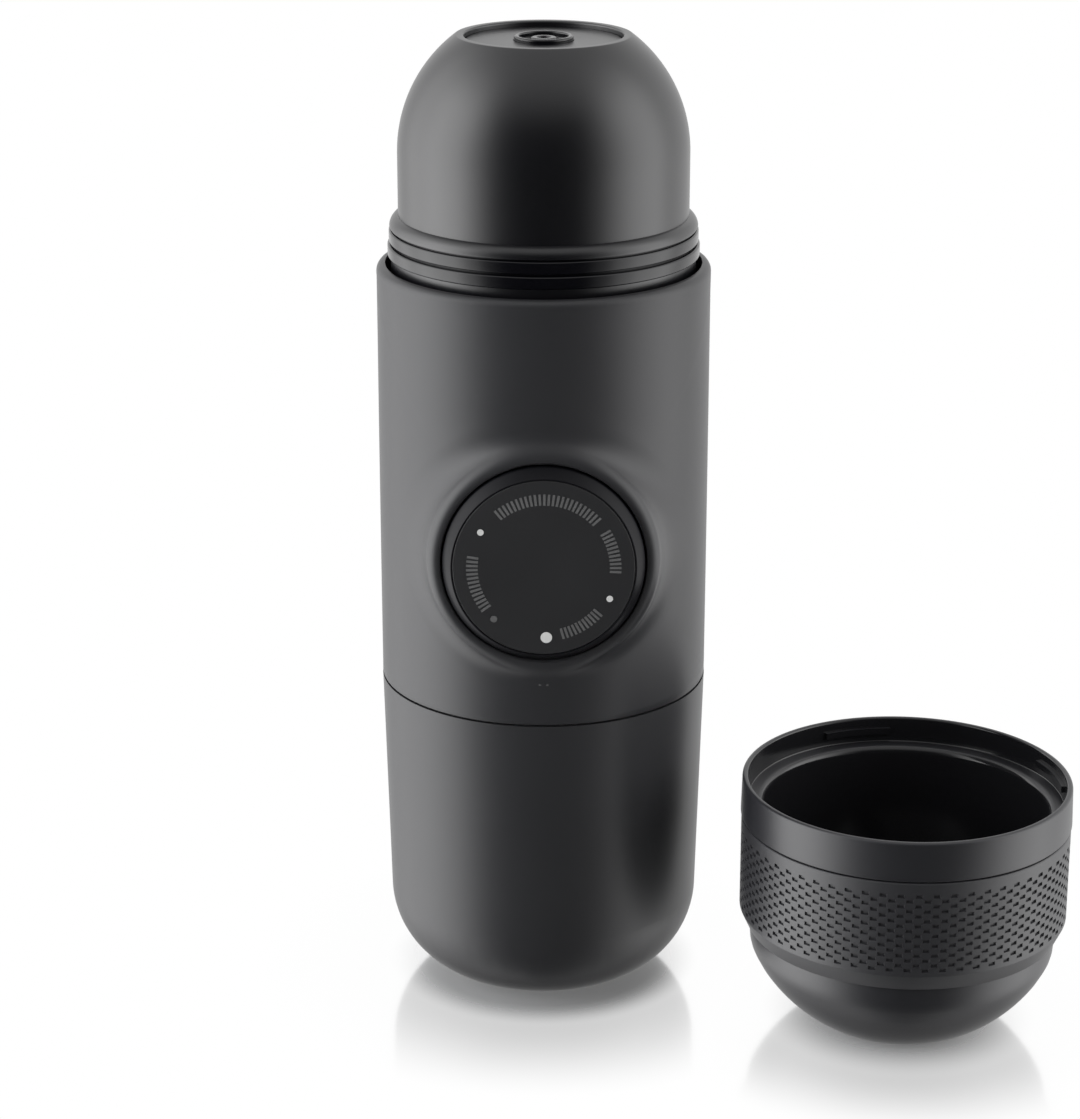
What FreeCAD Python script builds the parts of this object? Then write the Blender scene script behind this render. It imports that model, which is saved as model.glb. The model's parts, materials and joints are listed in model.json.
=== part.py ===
"""Handheld manual espresso maker with its cup, as a parametric document of separate pieces.

Millimetres, +Z up. The origin is the centre of the tank's foot. The piston knob
points along -Y. Pump pieces are drawn along their own Z axis, which runs outwards
through the knob, and cup pieces are drawn about the cup's own axis.
"""
import FreeCAD, Part
import math
import os
from types import SimpleNamespace

import Sketcher

# Driving sizes: alias, millimetres (or degrees, or a count), meaning.
DRIVING_SIZES = [
    # barrel
    ("barrel_outer", 29.75, "outer radius of the barrel and of the tank's rim"),
    ("barrel_wall", 1.55, "wall of the barrel"),
    ("barrel_rise", 46.2, "height of the barrel's rim above the pump axis"),
    ("rim_round", 1.4, "round on the barrel's outer rim"),
    ("seam_drop", 31.0, "how far the seam between tank and barrel lies below the pump axis"),
    ("seam_gap", 0.3, "open seam between tank and barrel"),
    ("fixed_fit", 0.1, "gap between pieces that are fixed together"),
    ("moving_gap", 0.3, "gap between pieces that move past each other"),
    ("running_fit", 0.05, "radial gap of a running fit"),
    ("face_gap", 0.05, "gap between flat faces that bear on each other"),
    # tank
    ("tank_low_r", 28.2, "radius at which the tank's drafted side would reach the foot"),
    ("tank_corner", 16.5, "round between the tank's side and foot"),
    ("tank_wall", 2.6, "wall of the tank"),
    ("mouth_wall", 2.65, "wall of the tank's mouth"),
    ("mouth_depth", 12.8, "depth of the tank's straight mouth"),
    ("seal_height", 1.0, "thickness of the tank seal"),
    ("seal_width", 1.9, "width of the tank seal"),
    # bulkhead
    ("bulkhead_height", 4.0, "thickness of the bulkhead"),
    ("plug_outer", 25.2, "outer radius of the plug in the tank's mouth"),
    ("plug_wall", 2.5, "wall of the plug"),
    ("plug_depth", 9.2, "length of the plug below the flange"),
    ("lug_height", 1.8, "height of a thread lug"),
    ("lug_reach", 0.7, "how far a thread lug stands out"),
    ("lug_angle", 50.0, "angle that a thread lug spans"),
    ("lug_count", 3, "thread lugs in a ring"),
    ("plug_lug_rise", 0.9, "height of the plug's lugs above its lower end"),
    # water way
    ("duct_offset", 18.6, "distance of the ducts behind the axis"),
    ("duct_outer", 3.0, "outer radius of a duct"),
    ("duct_bore", 2.0, "bore radius of a duct"),
    ("duct_socket", 2.0, "depth to which a duct enters its socket"),
    ("strainer_r", 3.8, "radius of the inlet strainer"),
    ("strainer_height", 0.8, "thickness of the inlet strainer"),
    ("strainer_hole", 0.45, "hole radius of the inlet strainer"),
    ("vent_x", -12.0, "place of the air vent valve across"),
    ("vent_y", -8.0, "place of the air vent valve front to back"),
    ("vent_cap", 3.2, "radius of the air vent valve's flap"),
    ("vent_stem", 1.2, "radius of the air vent valve's stem"),
    ("vent_knob", 1.9, "radius of the bead that holds the air vent valve"),
    # chassis
    ("chassis_plate", 2.0, "thickness of the chassis flanges"),
    ("column_half", 10.0, "half width of the chassis column"),
    ("column_rear", 13.8, "how far the column reaches behind the axis"),
    ("front_plate_at", 9.7, "distance of the chassis's front plate ahead of the axis"),
    ("front_plate", 3.0, "thickness of the front plate"),
    ("front_plate_r", 21.5, "radius of the front plate"),
    ("window_height", 8.0, "height of the windows in the column"),
    ("window_half", 6.0, "half width of the windows in the column"),
    # screws
    ("screw_circle", 22.0, "radius of the circle that the frame screws stand on"),
    ("screw_shank", 1.25, "shank radius of a screw"),
    ("screw_length", 5.0, "shank length of a screw"),
    ("screw_head_r", 2.3, "head radius of a screw"),
    ("screw_head", 1.6, "head height of a screw"),
    # pump
    ("pump_height", 89.9, "height of the pump axis"),
    ("pump_bore", 6.5, "bore radius of the pump cylinder"),
    ("pump_wall", 1.7, "wall of the pump cylinder"),
    ("pump_front", 22.0, "front end of the pump cylinder ahead of the axis"),
    ("pump_collar", 1.4, "how far the cylinder's collar stands out"),
    ("pump_collar_length", 1.5, "length of the cylinder's collar"),
    ("gasket_height", 0.8, "thickness of the valve block gasket"),
    ("block_half", 9.0, "half width of the valve block"),
    ("block_half_height", 12.5, "half height of the valve block"),
    ("block_depth", 9.0, "depth of the valve block"),
    ("chamber_r", 5.4, "radius of the pump chamber in the valve block"),
    ("socket_depth", 4.0, "depth of the valve block's duct sockets"),
    ("block_screw_x", 7.0, "place of the valve block's screws across"),
    ("block_screw_z", 8.5, "place of the valve block's screws up and down"),
    ("block_screw_length", 14.0, "shank length of the valve block's screws"),
    ("valve_flange", 1.2, "flange thickness of a duckbill valve"),
    ("valve_bill_r", 1.6, "radius of a duckbill valve's bill"),
    ("valve_bill", 2.6, "length of a duckbill valve's bill"),
    ("valve_wall", 0.6, "wall of a duckbill valve's bill"),
    # piston
    ("piston_back", 12.0, "rear face of the piston head behind the axis"),
    ("piston_head", 5.8, "length of the piston head"),
    ("piston_rod", 4.9, "radius of the piston rod"),
    ("seal_groove", 2.6, "width of the piston's seal groove"),
    ("seal_land", 1.4, "land behind the piston's seal groove"),
    ("groove_r", 5.0, "radius at the floor of the piston's seal groove"),
    ("tip_r", 4.0, "radius of the rod's tip, on which the knob turns"),
    ("clip_groove", 3.2, "radius of the clip groove in the rod's tip"),
    ("clip_height", 0.6, "thickness of the knob clip"),
    ("clip_outer", 5.6, "outer radius of the knob clip"),
    ("clip_angle", 290.0, "angle that the knob clip spans"),
    # knob
    ("knob_outer", 17.6, "outer radius of the knob"),
    ("knob_skirt_wall", 1.7, "wall of the knob's skirt"),
    ("knob_end_gap", 0.9, "gap between the knob's skirt and the guide's flange"),
    ("knob_edge", 31.6, "front end of the knob's skirt ahead of the axis"),
    ("knob_front", 33.9, "face of the knob ahead of the axis"),
    ("knob_bevel", 1.5, "width of the knob's bevel"),
    ("face_inset", 0.2, "land between the bevel and the face disc"),
    ("face_height", 1.0, "thickness of the face disc"),
    ("dish_r", 9.3, "radius of the thumb dish"),
    ("dish_depth", 0.35, "depth of the thumb dish"),
    ("web_height", 2.7, "thickness of the knob's web"),
    ("clip_pocket", 1.9, "depth of the pocket for the clip"),
    ("clip_pocket_r", 6.5, "radius of the pocket for the clip"),
    ("hub_outer", 6.0, "outer radius of the knob's hub"),
    ("hub_back", 24.0, "rear end of the knob's hub ahead of the axis"),
    ("guide_wall", 1.4, "wall of the knob guide"),
    ("guide_flange", 2.0, "thickness of the knob guide's flange"),
    ("guide_flange_reach", 2.0, "how far the knob guide's flange stands out"),
    ("spring_wire", 0.7, "wire radius of the return spring"),
    ("spring_r", 12.0, "mean radius of the return spring"),
    ("spring_turns", 6, "turns of the return spring"),
    # boss round the knob
    ("boss_face", 31.4, "face of the boss ahead of the axis"),
    ("boss_front_r", 20.0, "radius of the boss at its face"),
    ("boss_back_r", 22.0, "radius of the boss at its root"),
    ("boss_root", 19.5, "root of the boss ahead of the axis"),
    ("boss_lip", 3.2, "depth of the lip in front of the knob guide"),
    ("boss_round", 0.9, "round on the edge of the boss"),
    ("boss_blend", 0.7, "round between the boss and the barrel"),
    # brew neck and basket
    ("chassis_rise", 27.1, "height of the chassis's top face above the pump axis"),
    ("neck_floor", 5.0, "thickness of the brew neck's floor"),
    ("neck_flange", 3.0, "thickness of the brew neck's flange"),
    ("neck_bore", 22.9, "bore radius of the brew neck"),
    ("neck_wall", 1.5, "wall of the brew neck"),
    ("neck_height", 22.5, "height of the brew neck's rim above the chassis"),
    ("plenum_r", 20.5, "radius of the water space under the shower screen"),
    ("plenum_depth", 1.0, "depth of the water space under the shower screen"),
    ("neck_lug_drop", 6.5, "how far the lugs on the brew neck lie below its rim"),
    ("gasket_ring", 1.0, "thickness of the shower and head gaskets"),
    ("screen_height", 0.8, "thickness of the shower screen"),
    ("screen_hole", 0.6, "hole radius of the shower screen"),
    ("screen_step", 5.6, "distance between the screen's rings of holes"),
    ("basket_wall", 1.0, "wall of the filter basket"),
    ("basket_plate", 0.8, "thickness of the basket's perforated end"),
    ("basket_gap", 0.4, "gap between basket and brew neck"),
    ("basket_flange_r", 24.2, "radius of the basket's flange"),
    ("basket_hole", 0.5, "hole radius of the basket"),
    ("basket_step", 4.4, "distance between the basket's rings of holes"),
    # outlet head
    ("skirt_outer", 27.1, "outer radius of the head's skirt"),
    ("skirt_bore", 25.6, "bore radius of the head's skirt"),
    ("skirt_drop", 10.5, "how far the skirt reaches below the brew neck's rim"),
    ("step_rise", 4.0, "height of the step inside the head above the brew neck's rim"),
    ("low_ring_r", 27.7, "radius of the lower ring on the skirt"),
    ("low_ring_rise", 1.5, "height of the lower ring's underside above the barrel's rim"),
    ("ring_height", 2.2, "height of each ring"),
    ("ring_gap", 0.35, "groove between the rings"),
    ("high_ring_r", 27.45, "radius of the upper ring"),
    ("shoulder_r", 27.35, "radius of the shoulder above the rings"),
    ("shoulder_height", 2.1, "height of the convex shoulder"),
    ("ring_round", 0.3, "round on the edges of the rings"),
    ("dome_r", 25.77, "radius of the head above its shoulder"),
    ("dome_spring_rise", 19.7, "height above the barrel's rim at which the dome starts to curve in"),
    ("dome_rim_r", 15.396, "outer radius of the head's flat rim"),
    ("head_top", 176.4, "height of the head's flat rim"),
    ("head_wall", 2.0, "wall of the head"),
    ("recess_r", 13.9, "radius of the recess in the head's top"),
    ("recess_depth", 2.4, "depth of the recess down to the disc's seat"),
    ("seat_r", 12.0, "bore radius inside the disc's seat"),
    ("seat_height", 1.4, "thickness of the disc's seat"),
    ("disc_height", 1.4, "thickness of the outlet disc"),
    ("nozzle_outer", 5.2, "outer radius of the nozzle"),
    ("nozzle_ring", 0.9, "wall of the nozzle's ring"),
    ("nozzle_rise", 0.8, "how far the nozzle's ring stands above the disc"),
    ("nozzle_floor", 0.5, "thickness of the nozzle's floor"),
    ("spout_outer", 2.3, "outer radius of the spout"),
    ("spout_bore", 1.1, "bore radius of the spout"),
    ("spout_drop", 0.3, "how far the spout ends below the nozzle's ring"),
    ("sleeve_length", 2.2, "length of the nozzle's sleeve over the funnel"),
    ("funnel_tube", 4.15, "outer radius of the funnel's tube"),
    ("funnel_bore", 2.6, "bore radius of the funnel's tube"),
    ("funnel_wall", 1.6, "wall of the funnel's cone"),
    ("funnel_mouth", 22.0, "radius of the funnel's mouth"),
    ("funnel_lip", 0.7, "height of the funnel's straight mouth"),
    ("funnel_cone", 10.6, "height of the funnel's cone"),
    # cup
    ("cup_x", 65.4, "place of the cup's axis across"),
    ("cup_y", -23.7, "place of the cup's axis front to back"),
    ("cup_height", 46.75, "height of the cup"),
    ("cup_rim", 29.55, "outer radius of the cup's rim"),
    ("cup_collar", 29.75, "outer radius at the foot of the cup's collar"),
    ("collar_drop", 2.5, "how far the collar's foot lies below the shelf inside the cup"),
    ("cup_mouth", 28.45, "bore radius of the cup's mouth"),
    ("cup_shelf", 42.0, "height of the shelf inside the cup"),
    ("cup_bore", 25.4, "bore radius of the cup below the shelf"),
    ("shelf_round", 1.2, "round on the edge of the shelf"),
    ("cup_wall", 2.2, "wall of the bowl"),
    ("bowl_r", 27.6, "outer radius of the bowl"),
    ("bowl_arc", 29.5, "radius of the bowl's arc"),
    ("bowl_centre_r", 0.7, "distance of the arc's centre from the cup's axis"),
    ("bowl_centre_z", 26.5, "height of the arc's centre"),
    ("bowl_blend", 8.0, "round between the bowl's arc and its side"),
    ("foot_round", 2.0, "round on the edge of the cup's foot"),
    ("grip_seat", 27.3, "radius of the seat under the grip sleeve"),
    ("grip_bottom", 18.3, "height of the grip sleeve's lower edge"),
    ("grip_outer", 29.6, "outer radius of the grip sleeve"),
    ("grip_low_r", 28.1, "radius of the sleeve's lower edge"),
    ("grip_chamfer", 3.2, "height of the sleeve's lower chamfer"),
    ("grip_gap", 0.25, "open seam between sleeve and collar"),
    ("cup_lug_at", 43.6, "height of the lugs in the cup's mouth"),
    ("cup_lug_height", 1.2, "height of the lugs in the cup's mouth"),
    ("cup_lug_reach", 0.6, "how far the lugs stand into the mouth"),
    ("cup_lug_angle", 26.0, "angle that a lug in the cup spans"),
    ("cup_lug_count", 4, "lugs in the cup's mouth"),
]


class Size:
    """A number together with the sheet formula that gives it."""

    def __init__(self, value, formula):
        self.value = float(value)
        self.formula = formula

    def joined(self, other, sign, value):
        """Return the size that joins this one and another by an arithmetic sign."""
        return Size(value, f"({self.formula} {sign} {sized(other).formula})")

    def __add__(self, other):
        return self.joined(other, "+", self.value + sized(other).value)

    def __sub__(self, other):
        return self.joined(other, "-", self.value - sized(other).value)

    def __mul__(self, other):
        return self.joined(other, "*", self.value * sized(other).value)

    def __truediv__(self, other):
        return self.joined(other, "/", self.value / sized(other).value)

    def __neg__(self):
        return Size(-self.value, f"(0 - {self.formula})")

    def root(self):
        """Return the square root of this size."""
        return Size(math.sqrt(self.value), f"sqrt({self.formula})")


def sized(number):
    """Return a plain number as a Size, and a Size as it is."""
    if isinstance(number, Size):
        return number
    return Size(number, repr(float(number)))


doc = FreeCAD.newDocument("EspressoMaker")


def fill_sheet():
    """Write the driving sizes into the sheet and return them by name."""
    sheet = doc.addObject("Spreadsheet::Sheet", "Sizes")
    for row, (alias, value, meaning) in enumerate(DRIVING_SIZES, start=1):
        sheet.set(f"A{row}", meaning)
        sheet.set(f"B{row}", str(value))
        sheet.setAlias(f"B{row}", alias)
    doc.recompute()
    return SimpleNamespace(
        **{alias: Size(value, f"Sizes.{alias}") for alias, value, _ in DRIVING_SIZES}
    )


s = fill_sheet()

# Heights, lengths and radii that several pieces share.
seam_height = s.pump_height - s.seam_drop
barrel_top = s.pump_height + s.barrel_rise
chassis_top = s.pump_height + s.chassis_rise
neck_top = chassis_top + s.neck_height
neck_lug_at = neck_top - s.neck_lug_drop
skirt_bottom = neck_top - s.skirt_drop
skirt_step = neck_top + s.step_rise
low_ring_at = barrel_top + s.low_ring_rise
dome_spring = barrel_top + s.dome_spring_rise
cup_collar_at = s.cup_shelf - s.collar_drop
tank_top = seam_height - s.seam_gap / 2
barrel_bottom = seam_height + s.seam_gap / 2
barrel_bore = s.barrel_outer - s.barrel_wall
insert_r = barrel_bore - s.fixed_fit
mouth_r = s.barrel_outer - s.mouth_wall
bulkhead_bottom = tank_top + s.seal_height + s.face_gap * 2
bulkhead_top = bulkhead_bottom + s.bulkhead_height
plug_bottom = bulkhead_bottom - s.plug_depth
plug_lug_top = plug_bottom + s.plug_lug_rise + s.lug_height
socket_r = s.duct_outer + s.fixed_fit / 2
screw_hole = s.screw_shank + s.fixed_fit / 2
chassis_bottom = bulkhead_top
neck_outer = s.neck_bore + s.neck_wall
neck_floor_top = chassis_top + s.neck_floor
screen_bottom = neck_floor_top + s.gasket_ring
basket_bottom = screen_bottom + s.screen_height + s.moving_gap
basket_outer = s.neck_bore - s.basket_gap
basket_flange_bottom = neck_top + s.moving_gap - s.face_gap * 2
basket_top = basket_flange_bottom + s.basket_plate
head_gasket_top = basket_top + s.gasket_ring
funnel_bottom = head_gasket_top + s.face_gap
pump_outer = s.pump_bore + s.pump_wall
block_face = s.column_rear + s.gasket_height
guide_bore = s.knob_outer + s.moving_gap
guide_outer = guide_bore + s.guide_wall
guide_end = s.boss_face - s.boss_lip
skirt_inner = s.knob_outer - s.knob_skirt_wall
face_back = s.knob_front - s.face_height
web_back = face_back - s.web_height
pocket_floor = face_back - s.clip_pocket
disc_seat = s.head_top - s.recess_depth
disc_top = disc_seat + s.disc_height

UPRIGHT, ALONG_PUMP, AT_CUP = "upright", "along pump", "at cup"


def place(piece, where):
    """Put a piece drawn about its own Z axis on the maker's, the pump's or the cup's axis."""
    if where == ALONG_PUMP:
        piece.Placement = FreeCAD.Placement(
            FreeCAD.Vector(0, 0, s.pump_height.value),
            FreeCAD.Rotation(FreeCAD.Vector(1, 0, 0), 90),
        )
        piece.setExpression("Placement.Base.z", s.pump_height.formula)
    elif where == AT_CUP:
        piece.Placement = FreeCAD.Placement(
            FreeCAD.Vector(s.cup_x.value, s.cup_y.value, 0), FreeCAD.Rotation()
        )
        piece.setExpression("Placement.Base.x", s.cup_x.formula)
        piece.setExpression("Placement.Base.y", s.cup_y.formula)


def bind(feature, prop, size):
    """Set a feature's property to a size, bound to the sheet."""
    size = sized(size)
    setattr(feature, prop, size.value)
    feature.setExpression(prop, size.formula)


def new_body(name, where=UPRIGHT):
    """Start a sub-part as a body of its own."""
    body = doc.addObject("PartDesign::Body", name)
    body.Label = name
    place(body, where)
    return body


def new_sketch(body, name, plane, offset=None):
    """Start a sketch on one of the body's origin planes, or at a distance along its normal."""
    sketch = body.newObject("Sketcher::SketchObject", name)
    support = next(f for f in body.Origin.OriginFeatures if f.Role == plane)
    sketch.AttachmentSupport = [(support, "")]
    sketch.MapMode = "FlatFace"
    if offset is not None:
        sketch.AttachmentOffset = FreeCAD.Placement(
            FreeCAD.Vector(0, 0, offset.value), FreeCAD.Rotation()
        )
        sketch.setExpression("AttachmentOffset.Base.z", offset.formula)
    return sketch


def pin_point(sketch, geometry, point, x, y):
    """Hold a sketch point at sizes measured from the sketch's origin."""
    for kind, size, axis in (("DistanceX", x, -2), ("DistanceY", y, -1)):
        if not isinstance(size, Size) and size == 0:
            sketch.addConstraint(Sketcher.Constraint("PointOnObject", geometry, point, axis))
            continue
        size = sized(size)
        index = sketch.addConstraint(
            Sketcher.Constraint(kind, -1, 1, geometry, point, size.value)
        )
        sketch.setExpression(f"Constraints[{index}]", size.formula)


def arc_between(start, end, radius):
    """Return the arc from start to end and whether it runs backwards.

    A positive radius bulges to the right of the way from start to end, and a
    negative one to the left.
    """
    middle = (start + end) * 0.5
    chord = end - start
    left = FreeCAD.Vector(-chord.y, chord.x, 0).normalize()
    rise = math.sqrt(max(radius * radius - chord.Length ** 2 / 4, 0))
    centre = middle + left * (rise if radius > 0 else -rise)
    first, last = (start, end) if radius > 0 else (end, start)
    angles = [math.atan2(p.y - centre.y, p.x - centre.x) for p in (first, last)]
    circle = Part.Circle(centre, FreeCAD.Vector(0, 0, 1), abs(radius))
    return Part.ArcOfCircle(circle, angles[0], angles[1]), radius < 0


def draw_outline(sketch, corners):
    """Draw a closed outline through corners of (x, y) or (x, y, radius of the arc to here)."""
    points = [FreeCAD.Vector(sized(c[0]).value, sized(c[1]).value, 0) for c in corners]
    ends = []
    for index, corner in enumerate(corners):
        before, here = points[index - 1], points[index]
        if len(corner) == 2:
            edge = sketch.addGeometry(Part.LineSegment(before, here), False)
            ends.append((edge, 1, 2))
            continue
        radius = sized(corner[2])
        arc, backwards = arc_between(before, here, radius.value)
        edge = sketch.addGeometry(arc, False)
        ends.append((edge, 2, 1) if backwards else (edge, 1, 2))
        held = sketch.addConstraint(Sketcher.Constraint("Radius", edge, abs(radius.value)))
        sketch.setExpression(
            f"Constraints[{held}]", (-radius if backwards else radius).formula
        )
    for index, corner in enumerate(corners):
        edge, _, last = ends[index]
        following, first, _ = ends[(index + 1) % len(corners)]
        sketch.addConstraint(Sketcher.Constraint("Coincident", edge, last, following, first))
        pin_point(sketch, edge, last, corner[0], corner[1])


def draw_circles(sketch, centres, radius):
    """Draw circles of one radius at the centres."""
    for x, y in centres:
        circle = Part.Circle(
            FreeCAD.Vector(sized(x).value, sized(y).value, 0),
            FreeCAD.Vector(0, 0, 1),
            radius.value,
        )
        edge = sketch.addGeometry(circle, False)
        held = sketch.addConstraint(Sketcher.Constraint("Radius", edge, radius.value))
        sketch.setExpression(f"Constraints[{held}]", radius.formula)
        pin_point(sketch, edge, 3, x, y)


def box_corners(half_x, low_y, high_y):
    """Return the corners of a rectangle that is centred across."""
    return [(half_x, low_y), (half_x, high_y), (-half_x, high_y), (-half_x, low_y)]


def turn(body, name, corners, angle=360):
    """Add the solid that an outline of (radius, height) corners sweeps about the body's Z axis."""
    sketch = new_sketch(body, name + "_outline", "XZ_Plane")
    draw_outline(sketch, corners)
    feature = body.newObject("PartDesign::Revolution", name)
    feature.Profile = sketch
    feature.ReferenceAxis = (sketch, ["V_Axis"])
    bind(feature, "Angle", angle)
    feature.Midplane = isinstance(angle, Size)
    return feature


def pad(body, name, plane, offset, length, corners=None, circles=None, radius=None):
    """Add a straight solid on one of the body's planes."""
    sketch = new_sketch(body, name + "_outline", plane, offset)
    if corners:
        draw_outline(sketch, corners)
    else:
        draw_circles(sketch, circles, radius)
    feature = body.newObject("PartDesign::Pad", name)
    feature.Profile = sketch
    bind(feature, "Length", length)
    return feature


def cut(body, name, plane, offset, length, corners=None, circles=None, radius=None, up=False):
    """Cut a straight hole that must take something away, against or along the plane's normal."""
    doc.recompute()
    before = body.Shape.Volume
    sketch = new_sketch(body, name + "_outline", plane, offset)
    if corners:
        draw_outline(sketch, corners)
    else:
        draw_circles(sketch, circles, radius)
    feature = body.newObject("PartDesign::Pocket", name)
    feature.Profile = sketch
    bind(feature, "Length", length)
    feature.Reversed = up
    doc.recompute()
    if not body.Shape.Volume < before:
        raise RuntimeError(f"{name} cuts nothing")
    return feature


def repeat_round(body, feature, count):
    """Repeat a feature evenly round the body's Z axis."""
    pattern = body.newObject("PartDesign::PolarPattern", feature.Name + "_ring")
    pattern.Originals = [feature]
    axis = next(f for f in body.Origin.OriginFeatures if f.Role == "Z_Axis")
    pattern.Axis = (axis, [""])
    pattern.Angle = 360
    count = sized(count)
    pattern.Occurrences = round(count.value)
    pattern.setExpression("Occurrences", count.formula)
    body.Tip = pattern
    return pattern


def add_lugs(body, name, inner, outer, bottom, top, angle, count):
    """Add a ring of thread lugs between two radii and two heights."""
    lug = turn(body, name, [(inner, bottom), (outer, bottom), (outer, top), (inner, top)], angle)
    repeat_round(body, lug, count)


def edge_names(shape, test):
    """Name the edges whose every sample point passes a test."""
    names = []
    for index, edge in enumerate(shape.Edges, start=1):
        if edge.Length > 0 and all(test(point) for point in edge.discretize(5)):
            names.append(f"Edge{index}")
    return names


def on_circle(radius, height):
    """Return a test for points on a level circle about the Z axis."""
    tolerance = 0.02

    def test(point):
        off_radius = abs(math.hypot(point.x, point.y) - radius.value)
        return off_radius < tolerance and abs(point.z - height.value) < tolerance

    return test


def round_edges(body, name, radius, *tests):
    """Round the edges that any of the tests picks out."""
    doc.recompute()
    base = body.Tip
    picked = [edge for test in tests for edge in edge_names(base.Shape, test)]
    if not picked:
        raise RuntimeError(f"{name} finds no edge")
    feature = body.newObject("PartDesign::Fillet", name)
    feature.Base = (base, picked)
    bind(feature, "Radius", radius)
    doc.recompute()
    if not feature.isValid():
        raise RuntimeError(f"{name} can't be made")


def turned_ring(name, inner, outer, bottom, top, where=UPRIGHT):
    """Make a plain ring as a sub-part."""
    body = new_body(name, where)
    turn(body, name + "_ring", [(inner, bottom), (outer, bottom), (outer, top), (inner, top)])
    return body


def perforate(body, name, top, depth, radius, step, rings):
    """Pierce a plate with one middle hole and rings of evenly spaced holes."""
    cut(body, name + "_middle", "XY_Plane", top, depth, circles=[(0, 0)], radius=radius)
    for ring in range(1, rings + 1):
        hole = cut(
            body, f"{name}_{ring}", "XY_Plane", top, depth, circles=[(step * ring, 0)], radius=radius
        )
        repeat_round(body, hole, 6 * ring)


def ring_places(radius, degrees):
    """Return points on a circle at the given angles."""
    return [
        (radius * math.cos(math.radians(a)), radius * math.sin(math.radians(a))) for a in degrees
    ]


FRAME_SCREW_ANGLES = (30, 150, 270)
frame_screw_places = ring_places(s.screw_circle, FRAME_SCREW_ANGLES)


# ---------------------------------------------------------------- barrel
def make_body_shell():
    """Outer barrel, with the raised collar round the knob."""
    body = new_body("body_shell")
    turn(body, "barrel", [
        (barrel_bore, barrel_bottom),
        (s.barrel_outer, barrel_bottom),
        (s.barrel_outer, barrel_top),
        (barrel_bore, barrel_top),
    ])
    boss = body.newObject("PartDesign::AdditiveCone", "boss")
    plane = next(f for f in body.Origin.OriginFeatures if f.Role == "XZ_Plane")
    boss.AttachmentSupport = [(plane, "")]
    boss.MapMode = "FlatFace"
    boss.AttachmentOffset = FreeCAD.Placement(
        FreeCAD.Vector(0, s.pump_height.value, s.boss_root.value), FreeCAD.Rotation()
    )
    boss.setExpression("AttachmentOffset.Base.y", s.pump_height.formula)
    boss.setExpression("AttachmentOffset.Base.z", s.boss_root.formula)
    bind(boss, "Radius1", s.boss_back_r)
    bind(boss, "Radius2", s.boss_front_r)
    bind(boss, "Height", s.boss_face - s.boss_root)
    doc.recompute()

    def on_blend(point):
        on_barrel = abs(math.hypot(point.x, point.y) - s.barrel_outer.value) < 0.02
        out = math.hypot(point.x, point.z - s.pump_height.value)
        return on_barrel and point.y < 0 and out < s.boss_back_r.value

    def on_boss_edge(point):
        out = math.hypot(point.x, point.z - s.pump_height.value)
        return abs(point.y + s.boss_face.value) < 0.02 and abs(out - s.boss_front_r.value) < 0.02

    centre = [(0, s.pump_height)]
    round_edges(body, "boss_blend_round", s.boss_blend, on_blend)
    round_edges(body, "boss_edge_round", s.boss_round, on_boss_edge)
    cut(
        body, "knob_opening", "XZ_Plane", s.boss_face, s.boss_face,
        circles=centre, radius=guide_bore,
    )
    cut(
        body, "guide_seat", "XZ_Plane", guide_end, guide_end,
        circles=centre, radius=guide_outer + s.fixed_fit / 2,
    )
    round_edges(body, "rim_edge_round", s.rim_round, on_circle(s.barrel_outer, barrel_top))


# ---------------------------------------------------------------- tank
def tank_side(height):
    """Return the tank's outer radius at a height on its drafted side."""
    return s.tank_low_r + (s.barrel_outer - s.tank_low_r) * height / tank_top


def make_water_tank():
    """Round-bottomed tank with lugs in its mouth."""
    body = new_body("water_tank")
    mouth_floor = tank_top - s.mouth_depth
    low_bore = tank_side(s.tank_wall) - s.tank_wall
    turn(body, "tank_wall", [
        (0, 0),
        (s.tank_low_r, 0),
        (s.barrel_outer, tank_top),
        (mouth_r, tank_top),
        (mouth_r, mouth_floor),
        (tank_side(mouth_floor) - s.tank_wall, mouth_floor),
        (low_bore, s.tank_wall),
        (0, s.tank_wall),
    ])
    round_edges(body, "outer_round", s.tank_corner, on_circle(s.tank_low_r, sized(0)))
    inner_round = s.tank_corner - s.tank_wall
    round_edges(body, "inner_round", inner_round, on_circle(low_bore, s.tank_wall))
    lug_bottom = plug_lug_top + s.moving_gap
    lug_top = lug_bottom + s.lug_height
    lug_inner = s.plug_outer + s.lug_reach + s.moving_gap
    lug_root = mouth_r + s.mouth_wall / 2
    add_lugs(
        body, "mouth_lug", lug_inner, lug_root, lug_bottom, lug_top, s.lug_angle, s.lug_count
    )


def make_tank_seal():
    """Flat seal on the tank's rim."""
    bottom = tank_top + s.face_gap
    outer = insert_r - s.fixed_fit
    turned_ring("tank_seal", outer - s.seal_width, outer, bottom, bottom + s.seal_height)


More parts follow.
